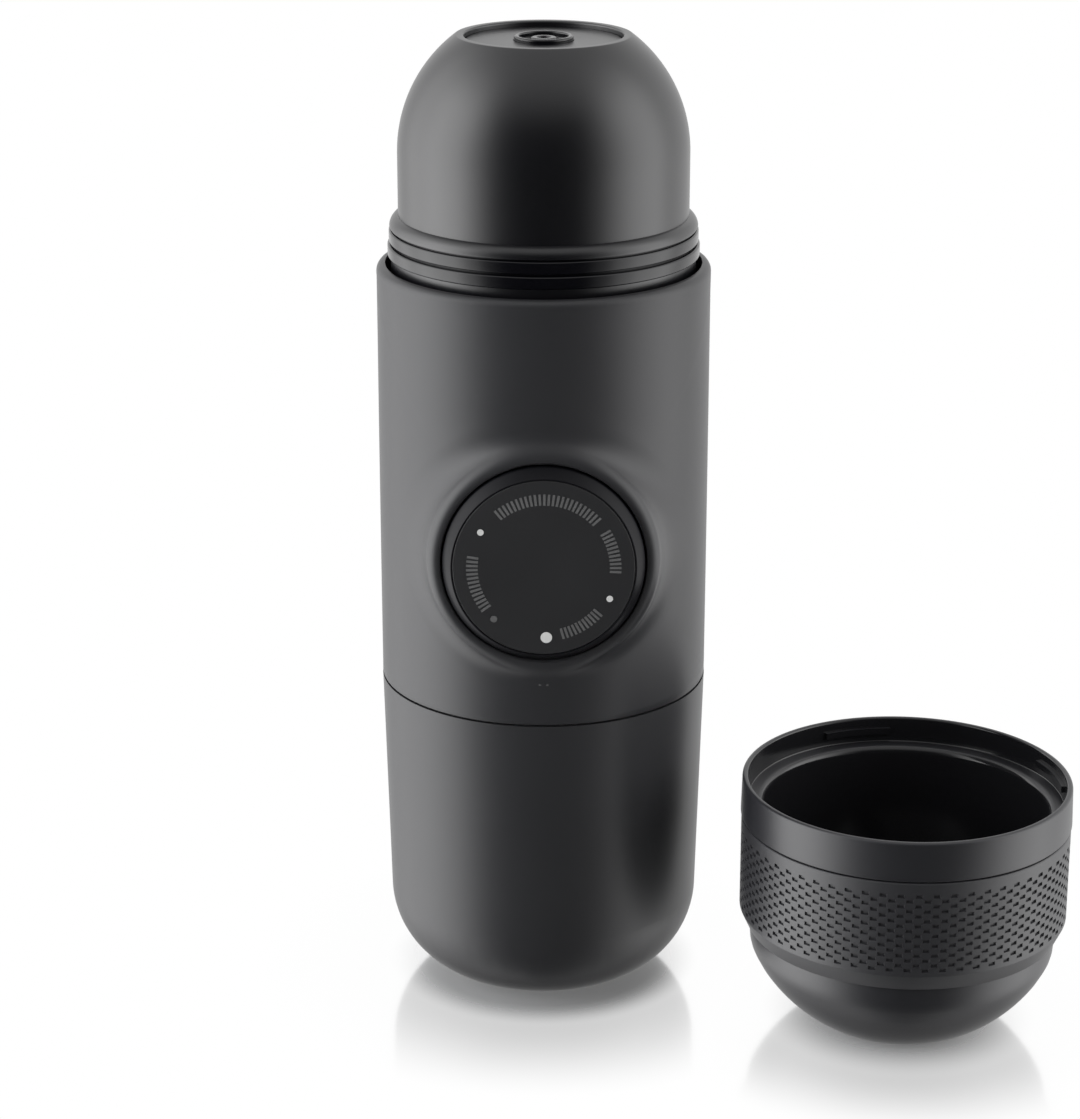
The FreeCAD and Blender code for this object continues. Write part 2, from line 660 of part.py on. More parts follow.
# ---------------------------------------------------------------- bulkhead and water way
def make_base_bulkhead():
    """Bulkhead that closes the barrel and plugs into the tank's mouth."""
    body = new_body("base_bulkhead")
    plug_bore = s.plug_outer - s.plug_wall
    turn(body, "bulkhead", [
        (0, bulkhead_bottom),
        (plug_bore, bulkhead_bottom),
        (plug_bore, plug_bottom),
        (s.plug_outer, plug_bottom),
        (s.plug_outer, bulkhead_bottom),
        (insert_r, bulkhead_bottom),
        (insert_r, bulkhead_top),
        (0, bulkhead_top),
    ])
    lug_root = s.plug_outer - s.plug_wall / 2
    lug_crest = s.plug_outer + s.lug_reach
    add_lugs(
        body, "plug_lug", lug_root, lug_crest, plug_lug_top - s.lug_height, plug_lug_top,
        s.lug_angle, s.lug_count,
    )
    inlet = [(0, s.duct_offset)]
    cut(
        body, "inlet_socket", "XY_Plane", bulkhead_top, s.duct_socket,
        circles=inlet, radius=socket_r,
    )
    cut(
        body, "inlet_port", "XY_Plane", bulkhead_top, s.bulkhead_height,
        circles=inlet, radius=s.duct_bore,
    )
    cut(
        body, "vent_port", "XY_Plane", bulkhead_top, s.bulkhead_height,
        circles=[(s.vent_x, s.vent_y)], radius=s.vent_stem + s.fixed_fit / 2,
    )
    cut(
        body, "screw_holes", "XY_Plane", bulkhead_top, s.screw_length - s.chassis_plate,
        circles=frame_screw_places, radius=screw_hole,
    )


def make_screws(name, places, length, pose):
    """Make a group of pan head screws that point along their own -Z, each a solid of its own."""
    screws = []
    for number, (x, y, z) in enumerate(places, start=1):
        head = doc.addObject("Part::Cylinder", f"{name}_head_{number}")
        bind(head, "Radius", s.screw_head_r)
        bind(head, "Height", s.screw_head)
        shank = doc.addObject("Part::Cylinder", f"{name}_shank_{number}")
        bind(shank, "Radius", s.screw_shank)
        bind(shank, "Height", length)
        shank.Placement.Base = FreeCAD.Vector(0, 0, -length.value)
        shank.setExpression("Placement.Base.z", (-length).formula)
        screw = doc.addObject("Part::Fuse", f"{name}_screw_{number}")
        screw.Base = head
        screw.Tool = shank
        screw.Placement = FreeCAD.Placement(
            FreeCAD.Vector(sized(x).value, sized(y).value, sized(z).value), pose
        )
        for axis, size in zip("xyz", (x, y, z)):
            screw.setExpression(f"Placement.Base.{axis}", sized(size).formula)
        screws.append(screw)
    group = doc.addObject("Part::Compound", name)
    group.Label = name
    group.Links = screws


def make_all_screws():
    """Frame screws above and below, and the valve block's screws."""
    upright = FreeCAD.Rotation()
    upside_down = FreeCAD.Rotation(FreeCAD.Vector(1, 0, 0), 180)
    from_behind = FreeCAD.Rotation(FreeCAD.Vector(1, 0, 0), -90)
    low = chassis_bottom + s.chassis_plate
    high = chassis_top - s.chassis_plate
    make_screws(
        "bulkhead_screws", [(x, y, low) for x, y in frame_screw_places], s.screw_length, upright
    )
    make_screws(
        "neck_screws", [(x, y, high) for x, y in frame_screw_places], s.screw_length, upside_down
    )
    rear = block_face + s.block_depth
    make_screws(
        "valve_block_screws",
        [(x, rear, s.pump_height + z) for x, z in block_screw_places()],
        s.block_screw_length,
        from_behind,
    )


def make_inlet_strainer():
    """Perforated disc under the inlet port."""
    body = new_body("inlet_strainer")
    bottom = bulkhead_bottom - s.strainer_height
    pad(
        body, "strainer_disc", "XY_Plane", bottom, s.strainer_height,
        circles=[(0, s.duct_offset)], radius=s.strainer_r,
    )
    hole_step = s.strainer_r / 2
    holes = [(0, s.duct_offset)]
    for x, y in ring_places(hole_step, range(0, 360, 60)):
        holes.append((x, s.duct_offset + y))
    cut(
        body, "strainer_holes", "XY_Plane", bulkhead_bottom, s.strainer_height,
        circles=holes, radius=s.strainer_hole,
    )


def make_air_vent_valve():
    """Umbrella valve that lets air into the tank."""
    body = new_body("air_vent_valve")
    cap_bottom = bulkhead_bottom - s.strainer_height
    centre = [(s.vent_x, s.vent_y)]
    pad(
        body, "flap", "XY_Plane", cap_bottom, s.strainer_height, circles=centre, radius=s.vent_cap
    )
    pad(
        body, "stem", "XY_Plane", cap_bottom, s.strainer_height * 2 + s.bulkhead_height,
        circles=centre, radius=s.vent_stem,
    )
    pad(
        body, "bead", "XY_Plane", bulkhead_top, s.strainer_height,
        circles=centre, radius=s.vent_knob,
    )


def make_duct(name, bottom, top):
    """Make a straight duct behind the pump."""
    body = new_body(name)
    centre = [(0, s.duct_offset)]
    pad(body, name + "_tube", "XY_Plane", bottom, top - bottom, circles=centre, radius=s.duct_outer)
    cut(body, name + "_bore", "XY_Plane", top, top - bottom, circles=centre, radius=s.duct_bore)


def make_duckbill(name, flange_bottom):
    """Make a duckbill check valve above the given height."""
    body = new_body(name)
    centre = [(0, s.duct_offset)]
    pad(
        body, name + "_flange", "XY_Plane", flange_bottom, s.valve_flange,
        circles=centre, radius=s.duct_outer,
    )
    pad(
        body, name + "_bill", "XY_Plane", flange_bottom, s.valve_flange + s.valve_bill,
        circles=centre, radius=s.valve_bill_r,
    )
    cut(
        body, name + "_throat", "XY_Plane", flange_bottom, s.valve_flange + s.valve_bill / 2,
        circles=centre, radius=s.valve_bill_r - s.valve_wall, up=True,
    )


# ---------------------------------------------------------------- chassis and pump
def block_screw_places():
    """Return the valve block's two screw places, across and above the pump axis."""
    return [(-s.block_screw_x, -s.block_screw_z), (s.block_screw_x, s.block_screw_z)]


def make_pump_chassis():
    """Frame between bulkhead and brew neck, with the front plate for the knob guide."""
    body = new_body("pump_chassis")
    height = chassis_top - chassis_bottom
    middle = [(0, 0)]
    pad(
        body, "low_flange", "XY_Plane", chassis_bottom, s.chassis_plate,
        circles=middle, radius=insert_r,
    )
    plate_back = s.front_plate_at - s.front_plate
    pad(
        body, "column", "XY_Plane", chassis_bottom, height,
        corners=box_corners(s.column_half, -s.front_plate_at, s.column_rear),
    )
    pad(
        body, "front_plate", "XZ_Plane", plate_back, s.front_plate,
        circles=[(0, s.pump_height)], radius=s.front_plate_r,
    )
    pad(
        body, "high_flange", "XY_Plane", chassis_top - s.chassis_plate, s.chassis_plate,
        circles=middle, radius=insert_r,
    )
    pump_centre = [(0, s.pump_height)]
    column_depth = s.front_plate_at + s.column_rear
    cut(
        body, "cylinder_bore", "XZ_Plane", s.front_plate_at, column_depth,
        circles=pump_centre, radius=pump_outer + s.fixed_fit / 2,
    )
    screw_reach = s.block_screw_length - s.block_depth - s.gasket_height + s.fixed_fit
    cut(
        body, "block_screw_holes", "XZ_Plane", screw_reach - s.column_rear, screw_reach,
        circles=[(x, s.pump_height + z) for x, z in block_screw_places()], radius=screw_hole,
    )
    low_window = (chassis_bottom + s.chassis_plate + s.pump_height - pump_outer - s.window_height) / 2
    high_window = (chassis_top - s.chassis_plate + s.pump_height + pump_outer - s.window_height) / 2
    for name, bottom in (("low_window", low_window), ("high_window", high_window)):
        cut(
            body, name, "XZ_Plane", s.front_plate_at, column_depth,
            corners=box_corners(s.window_half, bottom, bottom + s.window_height),
        )
    low_plate_top = chassis_bottom + s.chassis_plate
    cut(
        body, "vent_clearance", "XY_Plane", low_plate_top, s.chassis_plate,
        circles=[(s.vent_x, s.vent_y)], radius=s.vent_knob + s.moving_gap,
    )
    for name, top in (
        ("low_flange_holes", low_plate_top), ("high_flange_holes", chassis_top)
    ):
        cut(
            body, name + "_screw", "XY_Plane", top, s.chassis_plate,
            circles=frame_screw_places, radius=screw_hole,
        )
        cut(
            body, name + "_duct", "XY_Plane", top, s.chassis_plate,
            circles=[(0, s.duct_offset)], radius=socket_r,
        )


def make_pump_cylinder():
    """Cross tube in which the piston runs, with a collar that stops at the front plate."""
    body = new_body("pump_cylinder", ALONG_PUMP)
    collar_r = pump_outer + s.pump_collar
    turn(body, "cylinder", [
        (s.pump_bore, -s.column_rear),
        (pump_outer, -s.column_rear),
        (pump_outer, s.front_plate_at),
        (collar_r, s.front_plate_at),
        (collar_r, s.front_plate_at + s.pump_collar_length),
        (pump_outer, s.front_plate_at + s.pump_collar_length),
        (pump_outer, s.pump_front),
        (s.pump_bore, s.pump_front),
    ])


def make_valve_block():
    """Block behind the cylinder with the water's way in below and out above."""
    body = new_body("valve_block")
    low = s.pump_height - s.block_half_height
    high = s.pump_height + s.block_half_height
    pad(
        body, "block", "XY_Plane", low, high - low,
        corners=box_corners(s.block_half, block_face, block_face + s.block_depth),
    )
    way = [(0, s.duct_offset)]
    cut(body, "water_way", "XY_Plane", high, high - low, circles=way, radius=s.duct_bore)
    cut(body, "outlet_socket", "XY_Plane", high, s.socket_depth, circles=way, radius=socket_r)
    cut(
        body, "inlet_socket", "XY_Plane", low, s.socket_depth, circles=way, radius=socket_r, up=True
    )
    cut(
        body, "chamber", "XZ_Plane", -block_face, s.duct_offset - block_face,
        circles=[(0, s.pump_height)], radius=s.chamber_r,
    )
    cut(
        body, "screw_holes", "XZ_Plane", -block_face, s.block_depth,
        circles=[(x, s.pump_height + z) for x, z in block_screw_places()], radius=screw_hole,
    )


def make_piston_rod():
    """Piston head with its seal groove, rod, and the tip on which the knob turns."""
    body = new_body("piston_rod", ALONG_PUMP)
    head_r = s.pump_bore - s.moving_gap
    groove_low = -s.piston_back + s.seal_land
    groove_high = groove_low + s.seal_groove
    head_front = -s.piston_back + s.piston_head
    shoulder = s.hub_back - s.face_gap * 2
    clip_low = pocket_floor + s.moving_gap - s.face_gap
    clip_high = clip_low + s.clip_height + s.fixed_fit
    turn(body, "rod", [
        (0, -s.piston_back),
        (head_r, -s.piston_back),
        (head_r, groove_low),
        (s.groove_r, groove_low),
        (s.groove_r, groove_high),
        (head_r, groove_high),
        (head_r, head_front),
        (s.piston_rod, head_front),
        (s.piston_rod, shoulder),
        (s.tip_r, shoulder),
        (s.tip_r, clip_low),
        (s.clip_groove, clip_low),
        (s.clip_groove, clip_high),
        (s.tip_r, clip_high),
        (s.tip_r, clip_high + s.clip_height),
        (0, clip_high + s.clip_height),
    ])
    turned_ring(
        "piston_seal", s.groove_r + s.fixed_fit, s.pump_bore - s.running_fit,
        groove_low + s.fixed_fit, groove_high - s.fixed_fit, ALONG_PUMP,
    )
    clip = new_body("knob_clip", ALONG_PUMP)
    clip_inner = s.clip_groove + s.face_gap
    clip_bottom = clip_low + s.fixed_fit / 2
    clip_top = clip_bottom + s.clip_height
    turn(clip, "clip", [
        (clip_inner, clip_bottom),
        (s.clip_outer, clip_bottom),
        (s.clip_outer, clip_top),
        (clip_inner, clip_top),
    ], s.clip_angle)


def make_return_spring():
    """Coil spring between the front plate and the knob's web, as tilted half turns end to end."""
    low = s.front_plate_at + s.face_gap + s.spring_wire
    high = web_back - s.face_gap - s.spring_wire
    coil_r = s.spring_r.value
    half_turns = round(s.spring_turns.value * 2)
    rise = (high - low).value / half_turns
    arcs = []
    for number in range(half_turns):
        side = 1 if number % 2 == 0 else -1
        start = FreeCAD.Vector(side * coil_r, 0, number * rise)
        middle = FreeCAD.Vector(0, side * math.hypot(coil_r, rise / 2), (number + 0.5) * rise)
        end = FreeCAD.Vector(-side * coil_r, 0, (number + 1) * rise)
        arcs.append(Part.Arc(start, middle, end).toShape())
    section = Part.Wire(Part.makeCircle(
        s.spring_wire.value, FreeCAD.Vector(coil_r, 0, 0), FreeCAD.Vector(0, 1, 0)
    ))
    spring = doc.addObject("Part::Feature", "return_spring")
    spring.Label = "return_spring"
    spring.Shape = Part.Wire(arcs).makePipe(Part.Face(section))
    spring.Placement = FreeCAD.Placement(
        FreeCAD.Vector(0, -low.value, s.pump_height.value),
        FreeCAD.Rotation(FreeCAD.Vector(1, 0, 0), 90),
    )


# ---------------------------------------------------------------- knob
def make_knob_guide():
    """Tube in which the knob slides and turns."""
    body = new_body("knob_guide", ALONG_PUMP)
    flange_r = guide_outer + s.guide_flange_reach
    flange_front = s.front_plate_at + s.guide_flange
    turn(body, "guide", [
        (guide_bore, s.front_plate_at),
        (flange_r, s.front_plate_at),
        (flange_r, flange_front),
        (guide_outer, flange_front),
        (guide_outer, guide_end - s.fixed_fit),
        (guide_bore, guide_end - s.fixed_fit),
    ])


def make_knob():
    """Knob cap with skirt, bevel and hub, and its face disc."""
    cap = new_body("knob_cap", ALONG_PUMP)
    bore = s.tip_r + s.running_fit
    skirt_back = s.front_plate_at + s.guide_flange + s.knob_end_gap
    bevel_top = s.knob_outer - s.knob_bevel
    turn(cap, "cap", [
        (bore, s.hub_back),
        (s.hub_outer, s.hub_back),
        (s.hub_outer, web_back),
        (skirt_inner, web_back),
        (skirt_inner, skirt_back),
        (s.knob_outer, skirt_back),
        (s.knob_outer, s.knob_edge),
        (bevel_top, s.knob_front),
        (bevel_top - s.face_inset, s.knob_front),
        (bevel_top - s.face_inset, face_back),
        (s.clip_pocket_r, face_back),
        (s.clip_pocket_r, pocket_floor),
        (bore, pocket_floor),
    ])
    face = new_body("knob_face", ALONG_PUMP)
    face_r = bevel_top - s.face_inset - s.fixed_fit / 2
    dish_arc = (s.dish_r * s.dish_r + s.dish_depth * s.dish_depth) / (s.dish_depth * 2)
    turn(face, "face", [
        (0, face_back),
        (face_r, face_back),
        (face_r, s.knob_front),
        (s.dish_r, s.knob_front),
        (0, s.knob_front - s.dish_depth, -dish_arc),
    ])


# ---------------------------------------------------------------- brew neck and basket
def make_brew_neck():
    """Neck that holds the basket and carries the lugs for the outlet head."""
    body = new_body("brew_neck")
    flange_top = chassis_top + s.neck_flange
    plenum_floor = neck_floor_top - s.plenum_depth
    turn(body, "neck", [
        (0, chassis_top),
        (insert_r, chassis_top),
        (insert_r, flange_top),
        (neck_outer, flange_top),
        (neck_outer, neck_top),
        (s.neck_bore, neck_top),
        (s.neck_bore, neck_floor_top),
        (s.plenum_r, neck_floor_top),
        (s.plenum_r, plenum_floor),
        (0, plenum_floor),
    ])
    add_lugs(
        body, "neck_lug", neck_outer - s.neck_wall / 2, neck_outer + s.lug_reach,
        neck_lug_at, neck_lug_at + s.lug_height, s.lug_angle, s.lug_count,
    )
    outlet = [(0, s.duct_offset)]
    cut(
        body, "water_port", "XY_Plane", chassis_top, s.neck_floor,
        circles=outlet, radius=s.duct_bore, up=True,
    )
    cut(
        body, "duct_seat", "XY_Plane", chassis_top, s.duct_socket,
        circles=outlet, radius=socket_r, up=True,
    )
    cut(
        body, "screw_seats", "XY_Plane", chassis_top, s.screw_length - s.chassis_plate,
        circles=frame_screw_places, radius=screw_hole, up=True,
    )


def make_shower():
    """Gasket and perforated screen on the neck's floor."""
    outer = s.neck_bore - s.fixed_fit
    turned_ring("shower_gasket", s.plenum_r + s.fixed_fit, outer, neck_floor_top, screen_bottom)
    screen = new_body("shower_screen")
    screen_top = screen_bottom + s.screen_height
    pad(
        screen, "screen_disc", "XY_Plane", screen_bottom, s.screen_height,
        circles=[(0, 0)], radius=outer,
    )
    perforate(screen, "screen_holes", screen_top, s.screen_height, s.screen_hole, s.screen_step, 3)


def make_filter_basket():
    """Basket, open towards the shower screen and perforated towards the outlet."""
    body = new_body("filter_basket")
    basket_inner = basket_outer - s.basket_wall
    turn(body, "basket", [
        (0, basket_flange_bottom),
        (basket_inner, basket_flange_bottom),
        (basket_inner, basket_bottom),
        (basket_outer, basket_bottom),
        (basket_outer, basket_flange_bottom),
        (s.basket_flange_r, basket_flange_bottom),
        (s.basket_flange_r, basket_top),
        (0, basket_top),
    ])
    perforate(body, "basket_holes", basket_top, s.basket_plate, s.basket_hole, s.basket_step, 4)
    gasket_inner = basket_inner + s.fixed_fit
    turned_ring("head_gasket", gasket_inner, s.basket_flange_r, basket_top, head_gasket_top)


# ---------------------------------------------------------------- outlet head
def make_outlet_head():
    """Domed head with its ringed skirt and the lugs that draw it down."""
    body = new_body("outlet_head")
    low_ring_top = low_ring_at + s.ring_height
    high_ring_at = low_ring_top + s.ring_gap
    high_ring_top = high_ring_at + s.ring_height
    shoulder_at = high_ring_top + s.ring_gap
    shoulder_top = shoulder_at + s.shoulder_height
    shoulder_reach = s.shoulder_r - s.dome_r
    shoulder_arc = (
        (shoulder_reach * shoulder_reach + s.shoulder_height * s.shoulder_height)
        / (shoulder_reach * 2)
    )
    rise = s.head_top - dome_spring
    dome_reach = s.dome_r - s.dome_rim_r
    dome_arc = (rise * rise + dome_reach * dome_reach) / (dome_reach * 2)
    arc_centre_r = s.dome_r - dome_arc
    inner_arc = dome_arc - s.head_wall
    seat_bottom = disc_seat - s.seat_height
    inner_rise = seat_bottom - dome_spring
    seat_reach = arc_centre_r + (inner_arc * inner_arc - inner_rise * inner_rise).root()
    dome_bore = s.dome_r - s.head_wall
    turn(body, "head", [
        (s.skirt_bore, skirt_bottom),
        (s.skirt_outer, skirt_bottom),
        (s.skirt_outer, low_ring_at),
        (s.low_ring_r, low_ring_at),
        (s.low_ring_r, low_ring_top),
        (s.skirt_outer, low_ring_top),
        (s.skirt_outer, high_ring_at),
        (s.high_ring_r, high_ring_at),
        (s.high_ring_r, high_ring_top),
        (s.skirt_outer - s.ring_gap, high_ring_top),
        (s.skirt_outer - s.ring_gap, shoulder_at),
        (s.shoulder_r, shoulder_at),
        (s.dome_r, shoulder_top, shoulder_arc),
        (s.dome_r, dome_spring),
        (s.dome_rim_r, s.head_top, dome_arc),
        (s.recess_r, s.head_top),
        (s.recess_r, disc_seat),
        (s.seat_r, disc_seat),
        (s.seat_r, seat_bottom),
        (seat_reach, seat_bottom),
        (dome_bore, dome_spring, -inner_arc),
        (dome_bore, skirt_step),
        (s.skirt_bore, skirt_step),
    ])
    round_edges(
        body, "ring_edge_round", s.ring_round,
        on_circle(s.low_ring_r, low_ring_at),
        on_circle(s.low_ring_r, low_ring_top),
        on_circle(s.high_ring_r, high_ring_at),
        on_circle(s.high_ring_r, high_ring_top),
    )
    lug_top = neck_lug_at - s.moving_gap
    add_lugs(
        body, "head_lug", neck_outer + s.lug_reach + s.moving_gap,
        s.skirt_bore + (s.skirt_outer - s.skirt_bore) / 2, lug_top - s.lug_height, lug_top,
        s.lug_angle, s.lug_count,
    )


def make_outlet_funnel():
    """Funnel that leads the coffee from the basket up to the nozzle."""
    body = new_body("outlet_funnel")
    rim_r = s.skirt_bore - s.moving_gap
    rim_top = skirt_step - s.face_gap
    mouth_top = funnel_bottom + s.funnel_lip
    cone_top = mouth_top + s.funnel_cone
    shell_r = s.dome_r - s.head_wall - s.moving_gap
    turn(body, "funnel", [
        (s.funnel_mouth, funnel_bottom),
        (rim_r, funnel_bottom),
        (rim_r, rim_top),
        (shell_r, rim_top),
        (s.funnel_tube, cone_top + s.funnel_wall),
        (s.funnel_tube, disc_top - s.nozzle_floor),
        (s.funnel_bore, disc_top - s.nozzle_floor),
        (s.funnel_bore, cone_top),
        (s.funnel_mouth, mouth_top),
    ])


def make_outlet_top():
    """Recessed disc and the nozzle through its middle."""
    turned_ring(
        "outlet_disc", s.nozzle_outer + s.fixed_fit / 2, s.recess_r - s.fixed_fit,
        disc_seat, disc_top,
    )
    body = new_body("outlet_nozzle")
    floor_bottom = disc_top - s.nozzle_floor
    ring_top = disc_top + s.nozzle_rise
    ring_inner = s.nozzle_outer - s.nozzle_ring
    sleeve_inner = s.funnel_tube + s.fixed_fit / 2
    spout_top = ring_top - s.spout_drop
    turn(body, "nozzle", [
        (s.spout_bore, floor_bottom),
        (sleeve_inner, floor_bottom),
        (sleeve_inner, floor_bottom - s.sleeve_length),
        (s.nozzle_outer, floor_bottom - s.sleeve_length),
        (s.nozzle_outer, ring_top),
        (ring_inner, ring_top),
        (ring_inner, disc_top - s.nozzle_floor / 2),
        (s.spout_outer, disc_top - s.nozzle_floor / 2),
        (s.spout_outer, spout_top),
        (s.spout_bore, spout_top),
    ])


# ---------------------------------------------------------------- cup
def make_cup():
    """Cup with collar, lugs and shelf, and the grip sleeve round it."""
    cup = new_body("cup_body", AT_CUP)
    half_chord = s.bowl_r - s.bowl_centre_r
    bowl_top = s.bowl_centre_z - (s.bowl_arc * s.bowl_arc - half_chord * half_chord).root()
    foot_r = s.bowl_centre_r + (
        s.bowl_arc * s.bowl_arc - s.bowl_centre_z * s.bowl_centre_z
    ).root()
    inner_arc = s.bowl_arc - s.cup_wall
    inner_chord = s.cup_bore - s.bowl_centre_r
    inner_top = s.bowl_centre_z - (inner_arc * inner_arc - inner_chord * inner_chord).root()
    floor_drop = s.bowl_centre_z - s.cup_wall
    floor_r = s.bowl_centre_r + (inner_arc * inner_arc - floor_drop * floor_drop).root()
    turn(cup, "cup_wall_turned", [
        (0, 0),
        (foot_r, 0),
        (s.bowl_r, bowl_top, s.bowl_arc),
        (s.bowl_r, s.grip_bottom),
        (s.grip_seat, s.grip_bottom),
        (s.grip_seat, cup_collar_at),
        (s.cup_collar, cup_collar_at),
        (s.cup_rim, s.cup_height),
        (s.cup_mouth, s.cup_height),
        (s.cup_mouth, s.cup_shelf),
        (s.cup_bore, s.cup_shelf),
        (s.cup_bore, inner_top),
        (floor_r, s.cup_wall, -inner_arc),
        (0, s.cup_wall),
    ])
    round_edges(cup, "bowl_round", s.bowl_blend, on_circle(s.bowl_r, bowl_top))
    round_edges(cup, "inner_bowl_round", s.bowl_blend - s.cup_wall, on_circle(s.cup_bore, inner_top))
    round_edges(cup, "foot_edge_round", s.foot_round, on_circle(foot_r, sized(0)))
    round_edges(cup, "shelf_edge_round", s.shelf_round, on_circle(s.cup_bore, s.cup_shelf))
    add_lugs(
        cup, "cup_lug", s.cup_mouth - s.cup_lug_reach, (s.cup_mouth + s.cup_rim) / 2,
        s.cup_lug_at, s.cup_lug_at + s.cup_lug_height, s.cup_lug_angle, s.cup_lug_count,
    )
    sleeve = new_body("cup_grip_sleeve", AT_CUP)
    sleeve_inner = s.grip_seat + s.fixed_fit / 2
    sleeve_top = cup_collar_at - s.grip_gap
    turn(sleeve, "sleeve", [
        (sleeve_inner, s.grip_bottom),
        (s.grip_low_r, s.grip_bottom),
        (s.grip_outer, s.grip_bottom + s.grip_chamfer),
        (s.grip_outer, sleeve_top),
        (sleeve_inner, sleeve_top),
    ])


SUB_PARTS = (
    "body_shell", "base_bulkhead", "bulkhead_screws", "pump_chassis", "neck_screws",
    "valve_block", "valve_block_screws", "valve_block_gasket", "inlet_valve", "outlet_valve",
    "inlet_duct", "outlet_duct", "inlet_strainer", "air_vent_valve", "pump_cylinder",
    "knob_guide", "return_spring", "brew_neck", "shower_gasket", "shower_screen",
    "piston_rod", "piston_seal", "knob_clip", "knob_cap", "knob_face",
    "tank_seal", "water_tank", "head_gasket", "filter_basket", "outlet_head",
    "outlet_funnel", "outlet_disc", "outlet_nozzle", "cup_body", "cup_grip_sleeve",
)


def make_everything():
    """Build every sub-part."""
    make_body_shell()
    make_water_tank()
    make_tank_seal()
    make_base_bulkhead()
    make_all_screws()
    make_inlet_strainer()
    make_air_vent_valve()
    block_low = s.pump_height - s.block_half_height
    block_high = s.pump_height + s.block_half_height
    inlet_top = block_low + s.duct_socket
    outlet_bottom = block_high - s.duct_socket
    make_duct("inlet_duct", bulkhead_top - s.duct_socket, inlet_top)
    make_duct("outlet_duct", outlet_bottom, chassis_top + s.duct_socket)
    make_duckbill("inlet_valve", inlet_top + s.fixed_fit)
    make_duckbill("outlet_valve", block_high - s.socket_depth + s.fixed_fit)
    make_pump_chassis()
    make_pump_cylinder()
    make_valve_block()
    turned_ring(
        "valve_block_gasket", s.pump_bore - s.running_fit, pump_outer,
        -block_face, -s.column_rear, ALONG_PUMP,
    )
    make_piston_rod()
    make_return_spring()
    make_knob_guide()
    make_knob()
    make_brew_neck()
    make_shower()
    make_filter_basket()
    make_outlet_head()
    make_outlet_funnel()
    make_outlet_top()
    make_cup()
    doc.recompute()


def check_and_write():
    """Stop on any failed object or bad shape, then write one file for each sub-part."""
    for item in doc.Objects:
        if "Invalid" in item.State or "Error" in item.State:
            raise RuntimeError(f"{item.Label} failed: {item.State}")
    pieces = {label: doc.getObjectsByLabel(label)[0] for label in SUB_PARTS}
    for label, piece in pieces.items():
        if piece.Shape.isNull() or not piece.Shape.isValid():
            raise RuntimeError(f"{label} has no valid shape")
    os.makedirs("parts", exist_ok=True)
    for label, piece in pieces.items():
        piece.Shape.exportStep(f"parts/{label}.step")
        print(f"{label}: {len(piece.Shape.Solids)} solid(s), {piece.Shape.Volume / 1000:.3f} cm3")


make_everything()
check_and_write()
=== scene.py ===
"""Dressed model of a handheld manual espresso maker with its cup.

The maker stands on its round-bottomed tank: barrel with a side piston knob, ringed outlet head
above, tank below. The cup with its dimpled grip sleeve stands beside it. Sizes are in
millimetres and are turned into metres where a mesh is made.
"""
import json
import logging
import math
from dataclasses import dataclass, field
from enum import Enum
from typing import Callable

import bpy
from mathutils import Matrix, Vector


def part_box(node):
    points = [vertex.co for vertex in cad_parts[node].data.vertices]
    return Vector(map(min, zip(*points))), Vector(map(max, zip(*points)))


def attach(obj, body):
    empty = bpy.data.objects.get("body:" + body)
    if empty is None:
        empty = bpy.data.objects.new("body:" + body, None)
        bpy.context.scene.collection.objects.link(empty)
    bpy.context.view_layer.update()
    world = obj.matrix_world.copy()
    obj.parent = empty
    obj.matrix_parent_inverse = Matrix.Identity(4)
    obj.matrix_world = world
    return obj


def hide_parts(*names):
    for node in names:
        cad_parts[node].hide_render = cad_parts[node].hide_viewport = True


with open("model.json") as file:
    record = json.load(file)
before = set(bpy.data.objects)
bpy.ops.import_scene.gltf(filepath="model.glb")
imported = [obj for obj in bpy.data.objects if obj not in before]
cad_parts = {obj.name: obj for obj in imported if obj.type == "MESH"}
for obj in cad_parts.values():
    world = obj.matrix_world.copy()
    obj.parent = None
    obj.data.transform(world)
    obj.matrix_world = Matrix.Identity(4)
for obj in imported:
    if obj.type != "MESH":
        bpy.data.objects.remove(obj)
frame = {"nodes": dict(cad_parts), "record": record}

logging.basicConfig(level=logging.INFO, format="%(message)s")
log = logging.getLogger("espresso_maker")

MM = 0.001
FULL_TURN = math.tau
MERGE = 1e-6
NEAR = 0.1
CHORD_ANGLE = 15
EDGE_SHARE = 0.49
PRINT_HEIGHT = 0.03
BAR_CORNERS = 4
WHITE = (1, 1, 1, 1)
Colour = tuple[float, float, float]
Feeds = dict[str | int, object]


# ---------------------------------------------------------------- turning and shaping
@dataclass(frozen=True)
class TurnAxis:
    """Line that a turned piece is turned about, in metres."""

    origin: Vector
    along: Vector

    def point(self, radius: float, height: float) -> Vector:
        """Return the place at a radius and a height on the axis, both in millimetres."""
        return self.origin + (Vector((1, 0, 0)) * radius + self.along * height) * MM

    def radius_of(self, place: Vector) -> float:
        """Return a place's distance from the axis, in millimetres."""
        offset = place - self.origin
        return (offset - self.along * offset.dot(self.along)).length / MM

    def height_of(self, place: Vector) -> float:
        """Return a place's height along the axis, in millimetres."""
        return (place - self.origin).dot(self.along) / MM


def node_centre(node: str) -> Vector:
    """Return the middle of a CAD node's box, in metres."""
    low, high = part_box(node)
    return (Vector(low) + Vector(high)) / 2


CUP_MIDDLE = node_centre("cup_body")
MAKER_AXIS = TurnAxis(Vector((0, 0, 0)), Vector((0, 0, 1)))
PUMP_AXIS = TurnAxis(Vector((0, 0, node_centre("knob_cap").z)), Vector((0, -1, 0)))
CUP_AXIS = TurnAxis(Vector((CUP_MIDDLE.x, CUP_MIDDLE.y, 0)), Vector((0, 0, 1)))


